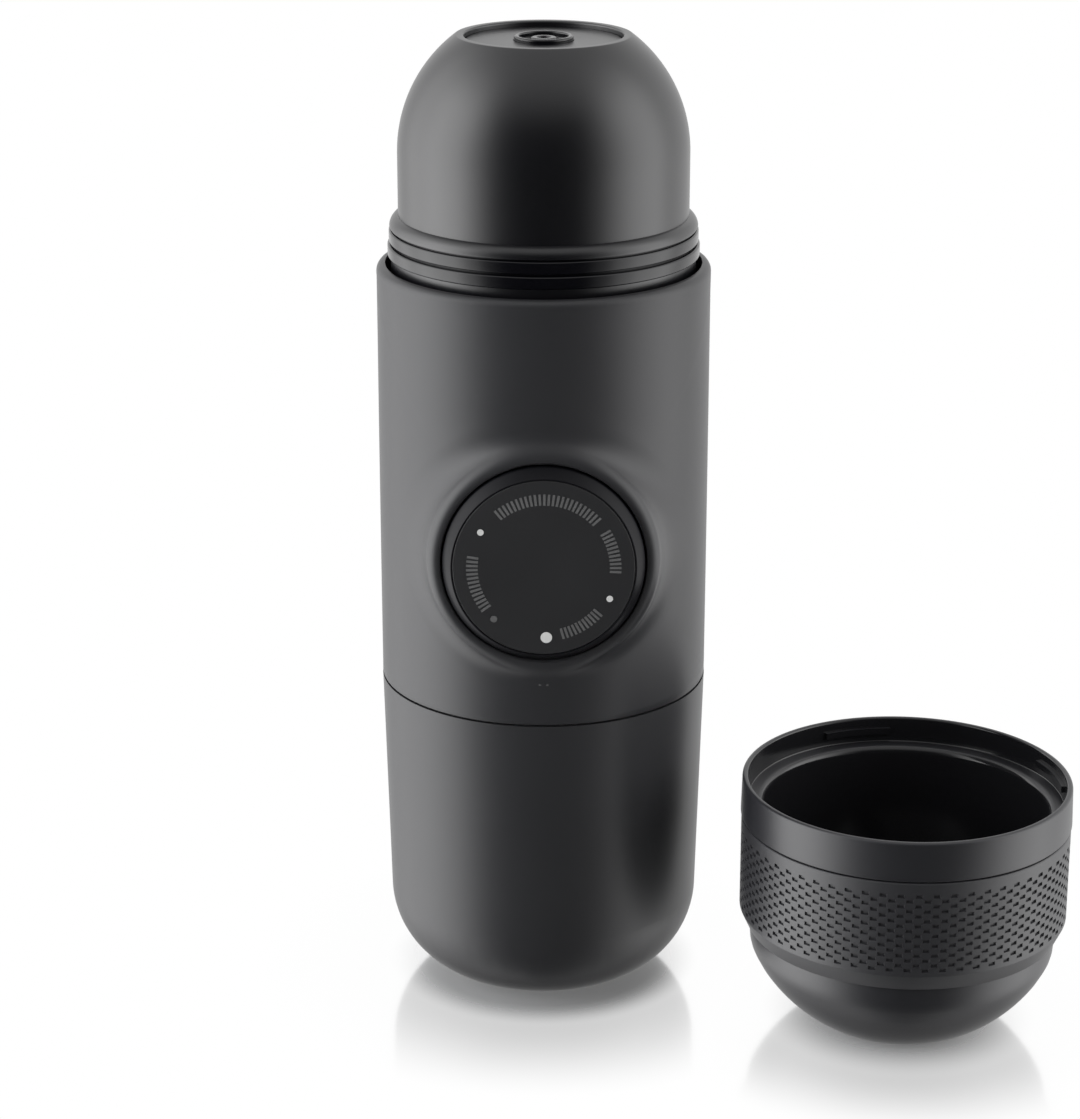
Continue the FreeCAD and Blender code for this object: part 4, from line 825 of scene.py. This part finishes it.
# ---------------------------------------------------------------- knob
@dataclass
class Knob:
    """Piston knob: a bevelled cap and a dished face disc with printed marks."""

    outer: float = 17.6
    skirt_inner: float = 15.9
    skirt_back: float = 12.6
    edge: float = 31.6
    front: float = 33.9
    bevel_top: float = 16.1
    pocket_r: float = 15.9
    face_r: float = 15.82
    face_back: float = 32.9
    web_back: float = 30.2
    hub_outer: float = 6.0
    hub_back: float = 24.0
    hub_bore: float = 4.3
    clip_r: float = 6.5
    clip_depth: float = 1.9
    dish_edge: float = 9.8
    dish_depth: float = 0.35
    dish_steps: int = 8
    mark_r: float = 12.7
    tick_r: float = 12.4
    big_dot: tuple[float, float] = (-88.0, 2.0)
    small_dots: tuple[float, ...] = (149.0, -26.0)
    small_dot: float = 1.15
    big_dot_corners: int = 24
    dot_corners: int = 20
    ring_mark: tuple[float, float] = (-133.0, 1.2)
    tick_arcs: tuple[tuple[float, float, int], ...] = (
        (129.0, 43.0, 25), (31.0, -3.0, 11), (-41.0, -75.0, 11), (216.0, 171.0, 14))
    tick_size: tuple[float, float] = (0.42, 2.0)

    def cap_outline(self) -> Outline:
        """Return the half section of the cap."""
        pocket = self.face_back - self.clip_depth
        shape = Outline()
        shape.to(self.hub_bore, self.hub_back).to(self.hub_outer, self.hub_back, 0.3)
        shape.to(self.hub_outer, self.web_back, 0.4).to(self.skirt_inner, self.web_back, 0.5)
        shape.to(self.skirt_inner, self.skirt_back, 0.3).to(self.outer, self.skirt_back, 0.4)
        shape.to(self.outer, self.edge, 0.7).to(self.bevel_top, self.front, 0.25)
        shape.to(self.pocket_r, self.front, 0.05).to(self.pocket_r, self.face_back)
        shape.to(self.clip_r, self.face_back).to(self.clip_r, pocket).to(self.hub_bore, pocket)
        return shape

    def face_outline(self) -> Outline:
        """Return the half section of the face disc."""
        shape = Outline(closed=False)
        shape.to(0, self.face_back).to(self.face_r, self.face_back)
        shape.to(self.face_r, self.front, 0.22).to(self.dish_edge, self.front)
        for step in reversed(range(self.dish_steps)):
            share = step / self.dish_steps
            fall = (1 + math.cos(math.pi * share)) / 2
            shape.to(self.dish_edge * share, self.front - self.dish_depth * fall)
        return shape

    def on_face(self, angle: float, reach: float) -> Vector:
        """Return a place on the face, in metres."""
        turned = math.radians(angle)
        return PUMP_AXIS.origin + Vector((
            reach * math.cos(turned), -self.front, reach * math.sin(turned))) * MM

    def build(self, finishes: Finishes) -> None:
        """Build and dress the cap, the face disc and the marks."""
        cap = turn("knob_cap_bevelled", self.cap_outline(), PUMP_AXIS)
        dress(cap, finishes.by_slot[Slot.GLOSS])
        settle(cap, "knob", Slot.GLOSS, "knob_cap")
        face = turn("knob_disc_dished", self.face_outline(), PUMP_AXIS)
        dress(face, finishes.by_slot[Slot.KNOB_FACE])
        settle(face, "knob", Slot.KNOB_FACE, "knob_face")

        def dot(angle: float, width: float, corners: int) -> bpy.types.Object:
            """Return a printed dot on the ring of marks."""
            return print_mark(self.on_face(angle, self.mark_r), (width, width), corners=corners)

        dots = [dot(*self.big_dot, self.big_dot_corners)]
        dots += [dot(angle, self.small_dot, self.dot_corners) for angle in self.small_dots]
        settle(join_marks("knob_dots", dots, finishes.white_print), "knob", Slot.KNOB_FACE)
        ticks = []
        for start, end, count in self.tick_arcs:
            for step in range(count):
                angle = start + (end - start) * step / (count - 1)
                ticks.append(print_mark(self.on_face(angle, self.tick_r), self.tick_size,
                                        angle - 90.0))
        ticks.append(dot(*self.ring_mark, self.dot_corners))
        settle(join_marks("knob_ticks", ticks, finishes.grey_print), "knob", Slot.KNOB_FACE)


# ---------------------------------------------------------------- outlet head
@dataclass
class OutletHead:
    """Domed head with two rings and a rounded shoulder."""

    skirt_outer: float = 27.1
    skirt_bore: float = 25.6
    skirt_bottom: float = 129.0
    skirt_step: float = 143.5
    low_ring: tuple[float, float, float] = (27.7, 137.6, 139.8)
    high_ring: tuple[float, float, float] = (27.45, 140.15, 142.35)
    groove_r: float = 26.75
    shoulder_r: float = 27.35
    shoulder_at: float = 142.7
    shoulder_top: float = 144.8
    shoulder_start: float = 6.0
    shoulder_inset: float = 0.1
    shoulder_steps: int = 8
    ring_edge: float = 0.35
    dome_r: float = 25.77
    dome_spring: float = 155.8
    dome_arc: float = 25.64
    rim_angle: float = 53.46
    dome_steps: int = 28
    inner_steps: int = 16
    wall: float = 2.0
    recess_r: float = 13.9
    recess_depth: float = 2.4
    seat_r: float = 12.0
    seat_height: float = 1.4
    lug_at: float = 130.9
    lug_height: float = 1.8
    lug_reach: float = 25.4
    lug_angle: float = 50.0
    lug_count: int = 3
    disc_r: float = 13.8
    disc_bore: float = 5.25
    disc_height: float = 1.4
    nozzle_outer: float = 5.2
    nozzle_wall: float = 0.9
    nozzle_rise: float = 0.8
    nozzle_floor: float = 0.5
    spout_outer: float = 2.3
    spout_bore: float = 1.1
    spout_drop: float = 0.3

    def outline(self) -> Outline:
        """Return the half section of the head."""
        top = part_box("outlet_head")[1][2] / MM
        centre = (self.dome_r - self.dome_arc, self.dome_spring)
        seat_top = top - self.recess_depth
        seat_bottom = seat_top - self.seat_height
        inner_arc = self.dome_arc - self.wall
        inner_angle = math.degrees(math.asin((seat_bottom - self.dome_spring) / inner_arc))
        shape = Outline()
        shape.to(self.skirt_bore, self.skirt_bottom, 0.2)
        shape.to(self.skirt_outer, self.skirt_bottom, 0.5)
        shape.to(self.skirt_outer, self.low_ring[1], 0.15)
        for (ring_r, start, end), after in ((self.low_ring, self.high_ring[1]),
                                            (self.high_ring, self.shoulder_at)):
            shape.to(ring_r, start, self.ring_edge).to(ring_r, end, self.ring_edge)
            shape.to(self.groove_r, end).to(self.groove_r, after)
        rise = self.shoulder_top - self.shoulder_at
        run = self.shoulder_r - self.dome_r
        bulge = (run * run + rise * rise) / (2 * run)
        shape.to(self.shoulder_r - self.shoulder_inset, self.shoulder_at)
        shape.arc((self.shoulder_r - bulge, self.shoulder_at), bulge, self.shoulder_start,
                  math.degrees(math.asin(rise / bulge)), self.shoulder_steps)
        shape.arc(centre, self.dome_arc, 0.0, self.rim_angle, self.dome_steps)
        shape.corners[-1] = (*shape.corners[-1][:2], 0.5)
        shape.to(self.recess_r, top, 0.4).to(self.recess_r, seat_top)
        shape.to(self.seat_r, seat_top).to(self.seat_r, seat_bottom)
        shape.arc(centre, inner_arc, inner_angle, 0.0, self.inner_steps)
        shape.to(centre[0] + inner_arc, self.skirt_step).to(self.skirt_bore, self.skirt_step)
        shape.to(self.skirt_bore, self.lug_at + self.lug_height).to(self.skirt_bore, self.lug_at)
        return shape

    def build(self, finishes: Finishes) -> None:
        """Build and dress the head."""
        piece = turn("outlet_head_shell", self.outline(), MAKER_AXIS, sides=180)
        raise_lugs(piece, MAKER_AXIS, self.skirt_bore, (self.lug_at, self.lug_at + self.lug_height),
                   self.lug_reach, self.lug_count, self.lug_angle)
        dress(piece, finishes.dome, finishes.rings)
        for face in piece.data.polygons:
            outside = MAKER_AXIS.radius_of(face.center) > self.skirt_bore + 2 * NEAR
            height = MAKER_AXIS.height_of(face.center)
            on_rings = self.low_ring[1] - NEAR < height < self.shoulder_at
            face.material_index = int(outside and on_rings)
        settle(piece, "head", Slot.CASING, "outlet_head")

    def build_outlet(self, finishes: Finishes) -> None:
        """Build the disc in the dome's recess and the nozzle in its middle."""
        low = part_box("outlet_disc")[0][2] / MM
        top = low + self.disc_height
        shape = Outline()
        shape.to(self.disc_bore, low).to(self.disc_r, low, 0.1).to(self.disc_r, top, 0.3)
        shape.to(self.disc_bore, top, 0.12)
        disc = turn("outlet_plate", shape, MAKER_AXIS, sides=128)
        dress(disc, finishes.dome)
        settle(disc, "head", Slot.CASING, "outlet_disc")
        sleeve_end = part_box("outlet_nozzle")[0][2] / MM
        ring_top = top + self.nozzle_rise
        ring_inner = self.nozzle_outer - self.nozzle_wall
        floor = top - self.nozzle_floor / 2
        shape = Outline()
        shape.to(self.spout_bore, top - self.nozzle_floor)
        shape.to(ring_inner, top - self.nozzle_floor).to(ring_inner, sleeve_end)
        shape.to(self.nozzle_outer, sleeve_end).to(self.nozzle_outer, ring_top, 0.4)
        shape.to(ring_inner, ring_top, 0.3).to(ring_inner, floor, 0.15)
        spout_top = ring_top - self.spout_drop
        shape.to(self.spout_outer, floor, 0.15).to(self.spout_outer, spout_top, 0.35)
        shape.to(self.spout_bore, spout_top, 0.3)
        nozzle = turn("outlet_spout", shape, MAKER_AXIS, sides=96)
        dress(nozzle, finishes.rings)
        settle(nozzle, "head", Slot.GLOSS, "outlet_nozzle")


# ---------------------------------------------------------------- cup
@dataclass
class Cup:
    """Round-bottomed cup with a collar and a dimpled grip sleeve."""

    height: float = 46.75
    rim_r: float = 29.55
    collar_r: float = 29.75
    collar_at: float = 39.5
    mouth_r: float = 28.45
    shelf_at: float = 42.0
    bore_r: float = 25.4
    wall: float = 2.2
    bowl_r: float = 27.6
    bowl_arc: float = 29.5
    bowl_centre: tuple[float, float] = (0.7, 26.5)
    bowl_middle: float = 30.0
    arc_stop: float = 8.0
    arc_steps: int = 18
    grip_bottom: float = 18.3
    grip_seat: float = 27.3
    lug_at: float = 43.6
    lug_height: float = 1.2
    lug_reach: float = 0.6
    lug_angle: float = 26.0
    lug_count: int = 4
    sleeve_outer: float = 29.6
    sleeve_inner: float = 27.4
    sleeve_low_r: float = 28.1
    sleeve_chamfer: float = 3.2
    sleeve_gap: float = 0.25
    dimple_columns: int = 120
    dimple_rows: int = 16
    dimple_pitch: float = 0.94
    dimple_top: float = 37.22
    dimple_depth: float = 0.35
    dimple_border: float = 0.12
    dimple_slope: float = 0.16

    def wall_outline(self) -> Outline:
        """Return the half section of the cup."""
        centre_r, centre_z = self.bowl_centre
        foot = -math.degrees(math.asin(centre_z / self.bowl_arc))
        side = -math.degrees(math.acos((self.bowl_r - centre_r) / self.bowl_arc))
        inner_arc = self.bowl_arc - self.wall
        inner_side = -math.degrees(math.acos((self.bore_r - centre_r) / inner_arc))
        inner_foot = -math.degrees(math.asin((centre_z - self.wall) / inner_arc))
        shape = Outline(closed=False)
        shape.to(0, 0)
        shape.arc(self.bowl_centre, self.bowl_arc, foot, side - self.arc_stop, self.arc_steps)
        shape.corners[1] = (*shape.corners[1][:2], 1.2)
        shape.to(self.bowl_r, centre_z + self.bowl_arc * math.sin(math.radians(side)), 7.0)
        shape.to(self.bowl_r, self.grip_bottom, 0.1).to(self.grip_seat, self.grip_bottom)
        shape.to(self.grip_seat, self.collar_at)
        shape.to(self.collar_r, self.collar_at, 0.3).to(self.rim_r, self.height, 0.55)
        shape.to(self.mouth_r, self.height, 0.45)
        shape.to(self.mouth_r, self.lug_at + self.lug_height).to(self.mouth_r, self.lug_at)
        shape.to(self.mouth_r, self.shelf_at, 0.3).to(self.bore_r, self.shelf_at, 1.2)
        shape.to(self.bore_r, centre_z + inner_arc * math.sin(math.radians(inner_side)), 5.8)
        shape.arc(self.bowl_centre, inner_arc, inner_side - self.arc_stop, inner_foot,
                  self.arc_steps)
        shape.corners[-1] = (*shape.corners[-1][:2], 2.0)
        shape.to(0, self.wall)
        return shape

    def build_wall(self, finishes: Finishes) -> None:
        """Build and dress the cup itself."""
        piece = turn("cup_shell", self.wall_outline(), CUP_AXIS, sides=180)
        raise_lugs(piece, CUP_AXIS, self.mouth_r, (self.lug_at, self.lug_at + self.lug_height),
                   self.mouth_r - self.lug_reach, self.lug_count, self.lug_angle)
        dress(piece, finishes.by_slot[Slot.CUP], finishes.cup_inside)
        middle = CUP_AXIS.point(0, self.bowl_middle)
        inside = (self.mouth_r + self.rim_r) / 2
        for face in piece.data.polygons:
            radius = CUP_AXIS.radius_of(face.center)
            outward = face.normal.dot(face.center - middle) > 0
            above_floor = CUP_AXIS.height_of(face.center) > self.wall / 2
            face.material_index = int(radius < inside and above_floor and not outward)
        settle(piece, "cup", Slot.CUP, "cup_body")

    def sleeve_outline(self) -> Outline:
        """Return the half section of the grip sleeve, with a ring of edges at each dimple row."""
        top = self.collar_at - self.sleeve_gap
        shape = Outline()
        shape.to(self.sleeve_inner, self.grip_bottom)
        shape.to(self.sleeve_low_r, self.grip_bottom, 0.25)
        shape.to(self.sleeve_outer, self.grip_bottom + self.sleeve_chamfer, 0.6)
        for row in range(self.dimple_rows, -1, -1):
            shape.to(self.sleeve_outer, self.dimple_top - row * self.dimple_pitch)
        shape.to(self.sleeve_outer, top, 0.4).to(self.sleeve_inner, top)
        return shape

    def build_sleeve(self, finishes: Finishes) -> None:
        """Build and dress the grip sleeve with its staggered dimples."""
        piece = turn("cup_grip_dimpled", self.sleeve_outline(), CUP_AXIS, self.dimple_columns)
        column = FULL_TURN / self.dimple_columns
        bottom = self.dimple_top - self.dimple_rows * self.dimple_pitch

        def is_dimple(face: bpy.types.MeshPolygon) -> bool:
            """Return whether a face is a square of the checkerboard that gets a dimple."""
            height = CUP_AXIS.height_of(face.center)
            if not bottom < height < self.dimple_top:
                return False
            if CUP_AXIS.radius_of(face.center) < self.sleeve_outer - 3 * NEAR:
                return False
            offset = face.center - CUP_AXIS.origin
            place = math.floor((math.atan2(offset.y, offset.x) % FULL_TURN) / column)
            row = math.floor((height - bottom) / self.dimple_pitch)
            return (place + row) % 2 == 0

        pick_faces(piece, is_dimple)
        bpy.ops.mesh.inset(thickness=self.dimple_border * MM, use_individual=True)
        bpy.ops.mesh.inset(thickness=self.dimple_slope * MM, depth=-self.dimple_depth * MM,
                           use_individual=True)
        bpy.ops.object.mode_set(mode="OBJECT")
        dress(piece, finishes.by_slot[Slot.GRIP], angle=50.0)
        settle(piece, "cup", Slot.GRIP, "cup_grip_sleeve")


# ---------------------------------------------------------------- studio
@dataclass
class Studio:
    """Floor, lamps, surroundings and camera."""

    camera_place: tuple[float, float, float] = (-0.000649, -0.54725, 0.26810)
    camera_tilt: float = 71.02
    camera_lens: float = 101.41
    camera_sensor: float = 36.0
    camera_near: float = 0.01
    floor_half: float = 3.0
    floor_colour: Colour = (0.8, 0.8, 0.8)
    floor_shade: float = 0.7
    sheen_colour: Colour = (0.98, 0.98, 0.98)
    sheen_roughness: float = 0.12
    sheen_around: float = 0.38
    sheen_contact: float = 0.4
    dim: Colour = (0.5, 0.5, 0.5)
    peak: float = 3.5
    overhead: float = 0.8
    overhead_bounds: tuple[float, float] = (0.42, 0.98)
    below_share: float = 0.25
    below_bounds: tuple[float, float] = (-0.92, -0.42)
    levels: tuple[tuple[float, float], ...] = (
        (-180, 1.0), (-145, 1.0), (-116, 2.6), (-92, 4.2), (-70, 4.0), (-54, 1.7),
        (-42, 0.25), (-28, 0.01), (0, 0.01), (30, 0.01), (45, 0.45), (60, 1.8),
        (75, 2.9), (95, 3.0), (118, 1.3), (150, 1.0), (180, 1.0))
    feet: tuple[tuple[Vector, float, float, float], ...] = (
        (MAKER_AXIS.origin, 0.0215, 0.030, 0.058), (CUP_AXIS.origin, 0.012, 0.026, 0.048))
    centre: Vector = field(default_factory=lambda: Vector((0.02, 0.0, 0.09)))

    def surround(self, tree: Tree, direction: bpy.types.NodeSocket) -> bpy.types.NodeSocket:
        """Return how light the surroundings are by their direction from the object.

        Args:
            tree: Tree that the nodes go into.
            direction: Direction as a vector socket.

        Returns:
            Socket with the level: dark in front, light at the sides and behind.
        """
        split = tree.add("SeparateXYZ", {"Vector": direction}).outputs
        side = tree.calc("ARCTAN2", split["X"], tree.calc("MULTIPLY", split["Y"], -1.0))
        share = tree.add("MapRange", {"Value": side, "From Min": -math.pi, "From Max": math.pi})
        ramp = tree.add("ValToRGB", {"Fac": share.outputs["Result"]})
        ramp.color_ramp.interpolation = "EASE"
        stops = ramp.color_ramp.elements
        while len(stops) < len(self.levels):
            stops.new(0.5)
        for stop, (angle, level) in zip(stops, self.levels):
            stop.position = (angle + 180) / 360
            stop.color = (*[level / self.peak] * 3, 1)
        return ramp.outputs["Color"]

    def build_world(self) -> None:
        """Build the surroundings: white to the camera, dim as light, dark in front in gloss."""
        world = bpy.data.worlds.new("studio")
        bpy.context.scene.world = world
        world.use_nodes = True
        tree = Tree(world.node_tree)
        direction = tree.add("TexCoord", {}).outputs["Generated"]
        ray = tree.add("LightPath", {}).outputs
        rise = tree.add("SeparateXYZ", {"Vector": direction}).outputs["Z"]
        level = tree.add("Mix", {"Factor": tree.ease(rise, self.overhead_bounds, 0.0, 1.0),
                                 "A": self.surround(tree, direction),
                                 "B": (*[self.overhead / self.peak] * 3, 1)}, data_type="RGBA")
        strength = tree.ease(rise, self.below_bounds, self.below_share * self.peak, self.peak)
        dim = tree.tree.nodes["Background"]
        tree.feed(dim, {"Color": (*self.dim, 1)})
        gloss = tree.add("Background", {"Color": level.outputs["Result"], "Strength": strength})
        white = tree.add("Background", {"Color": WHITE})
        seen = tree.calc("MAXIMUM", ray["Is Camera Ray"], ray["Is Transmission Ray"])
        mirrored = tree.mix(ray["Is Glossy Ray"], dim.outputs[0], gloss.outputs[0])
        tree.feed(tree.tree.nodes["World Output"],
                  {"Surface": tree.mix(seen, mirrored, white.outputs[0])})

    def near_feet(self, tree: Tree, place: bpy.types.NodeSocket,
                  first: int) -> bpy.types.NodeSocket:
        """Return a mask that is 1 at the object's feet and 0 away from them.

        Args:
            tree: Tree that the nodes go into.
            place: Place on the floor as a vector socket.
            first: Which of a foot's radii the mask starts to fall at; it ends at the next one.

        Returns:
            Socket with the mask.
        """
        masks = []
        for foot in self.feet:
            away = tree.add("VectorMath", {0: place, 1: foot[0]}, operation="DISTANCE")
            masks.append(tree.ease(away.outputs["Value"], foot[first:first + 2], 1.0, 0.0))
        return tree.calc("MAXIMUM", *masks)

    def build_floor(self) -> None:
        """Build the pale floor: white to the camera, with a soft mirror image at the feet."""
        bpy.ops.object.select_all(action="DESELECT")
        bpy.ops.mesh.primitive_plane_add(size=2 * self.floor_half)
        floor = bpy.context.object
        floor.name = "floor"
        shader = Shader("pale_floor")
        shader.feed(shader.surface, {"Base Color": (*self.floor_colour, 1), "Roughness": 0.5})
        lit = shader.surface.outputs["BSDF"]
        place = shader.add("TexCoord", {}).outputs["Object"]
        to_camera = shader.add("LightPath", {}).outputs["Is Camera Ray"]
        white = shader.add("Emission", {"Color": WHITE}).outputs["Emission"]
        sheen = shader.add("BsdfGlossy", {"Color": (*self.sheen_colour, 1),
                                          "Roughness": self.sheen_roughness}).outputs["BSDF"]
        contact = self.near_feet(shader, place, 1)
        around = self.near_feet(shader, place, 2)
        seen = white
        for mask, share, layer in ((contact, self.floor_shade, lit),
                                   (around, self.sheen_around, sheen),
                                   (contact, self.sheen_contact, sheen)):
            seen = shader.mix(shader.calc("MULTIPLY", mask, share), seen, layer)
        shader.feed(shader.tree.nodes["Material Output"],
                    {"Surface": shader.mix(to_camera, lit, seen)})
        floor.data.materials.append(shader.material)
        floor.visible_glossy = False

    def add_lamp(self, name: str, stand: tuple[float, float, float], size: tuple[float, float],
                 power: float, colour: Colour = (1.0, 1.0, 1.0)) -> None:
        """Add a soft box that looks at the object; gloss shows the surroundings in its place.

        Args:
            name: Name of the lamp.
            stand: Angle to the right of the camera's side and angle above the floor, both in
                degrees, and distance from the object's middle, in metres.
            size: Width and height, in metres.
            power: Power in watts.
            colour: Colour of the light.
        """
        turned, raised = math.radians(stand[0]), math.radians(stand[1])
        away = Vector((math.sin(turned) * math.cos(raised), -math.cos(turned) * math.cos(raised),
                       math.sin(raised)))
        data = bpy.data.lights.new(name, "AREA")
        data.shape = "RECTANGLE"
        data.size, data.size_y = size
        data.energy = power
        data.color = colour
        lamp = bpy.data.objects.new(name, data)
        lamp.location = self.centre + away * stand[2]
        lamp.rotation_euler = away.to_track_quat("Z", "Y").to_euler()
        lamp.visible_camera = False
        lamp.visible_glossy = False
        bpy.context.scene.collection.objects.link(lamp)

    def build_lamps(self) -> None:
        """Build the two side soft boxes and the weak one above."""
        self.add_lamp("left_softbox", (-80.0, 8.0, 0.9), (1.0, 0.9), 21.0, (0.96, 0.98, 1.0))
        self.add_lamp("right_softbox", (84.0, 6.0, 0.9), (0.95, 0.9), 11.5)
        self.add_lamp("top_softbox", (160.0, 75.0, 1.0), (0.8, 0.8), 4.0)

    def build_camera(self) -> None:
        """Build the camera."""
        data = bpy.data.cameras.new("camera")
        data.lens = self.camera_lens
        data.sensor_width = self.camera_sensor
        data.clip_start = self.camera_near
        camera = bpy.data.objects.new("camera", data)
        camera.location = self.camera_place
        camera.rotation_euler = (math.radians(self.camera_tilt), 0, 0)
        bpy.context.scene.collection.objects.link(camera)
        bpy.context.scene.camera = camera

    def build(self) -> None:
        """Build the whole studio."""
        self.build_camera()
        self.build_world()
        self.build_floor()
        self.build_lamps()
        bpy.context.scene.view_settings.view_transform = "Standard"


def main() -> None:
    """Build and dress the whole object in its studio."""
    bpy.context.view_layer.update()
    Studio().build()
    finishes = Finishes()
    finishes.dress_nodes()
    barrel = Barrel()
    barrel.build(finishes)
    barrel.build_pointer(finishes)
    Knob().build(finishes)
    head = OutletHead()
    head.build(finishes)
    head.build_outlet(finishes)
    cup = Cup()
    cup.build_wall(finishes)
    cup.build_sleeve(finishes)


if __name__ == "__main__":
    main()
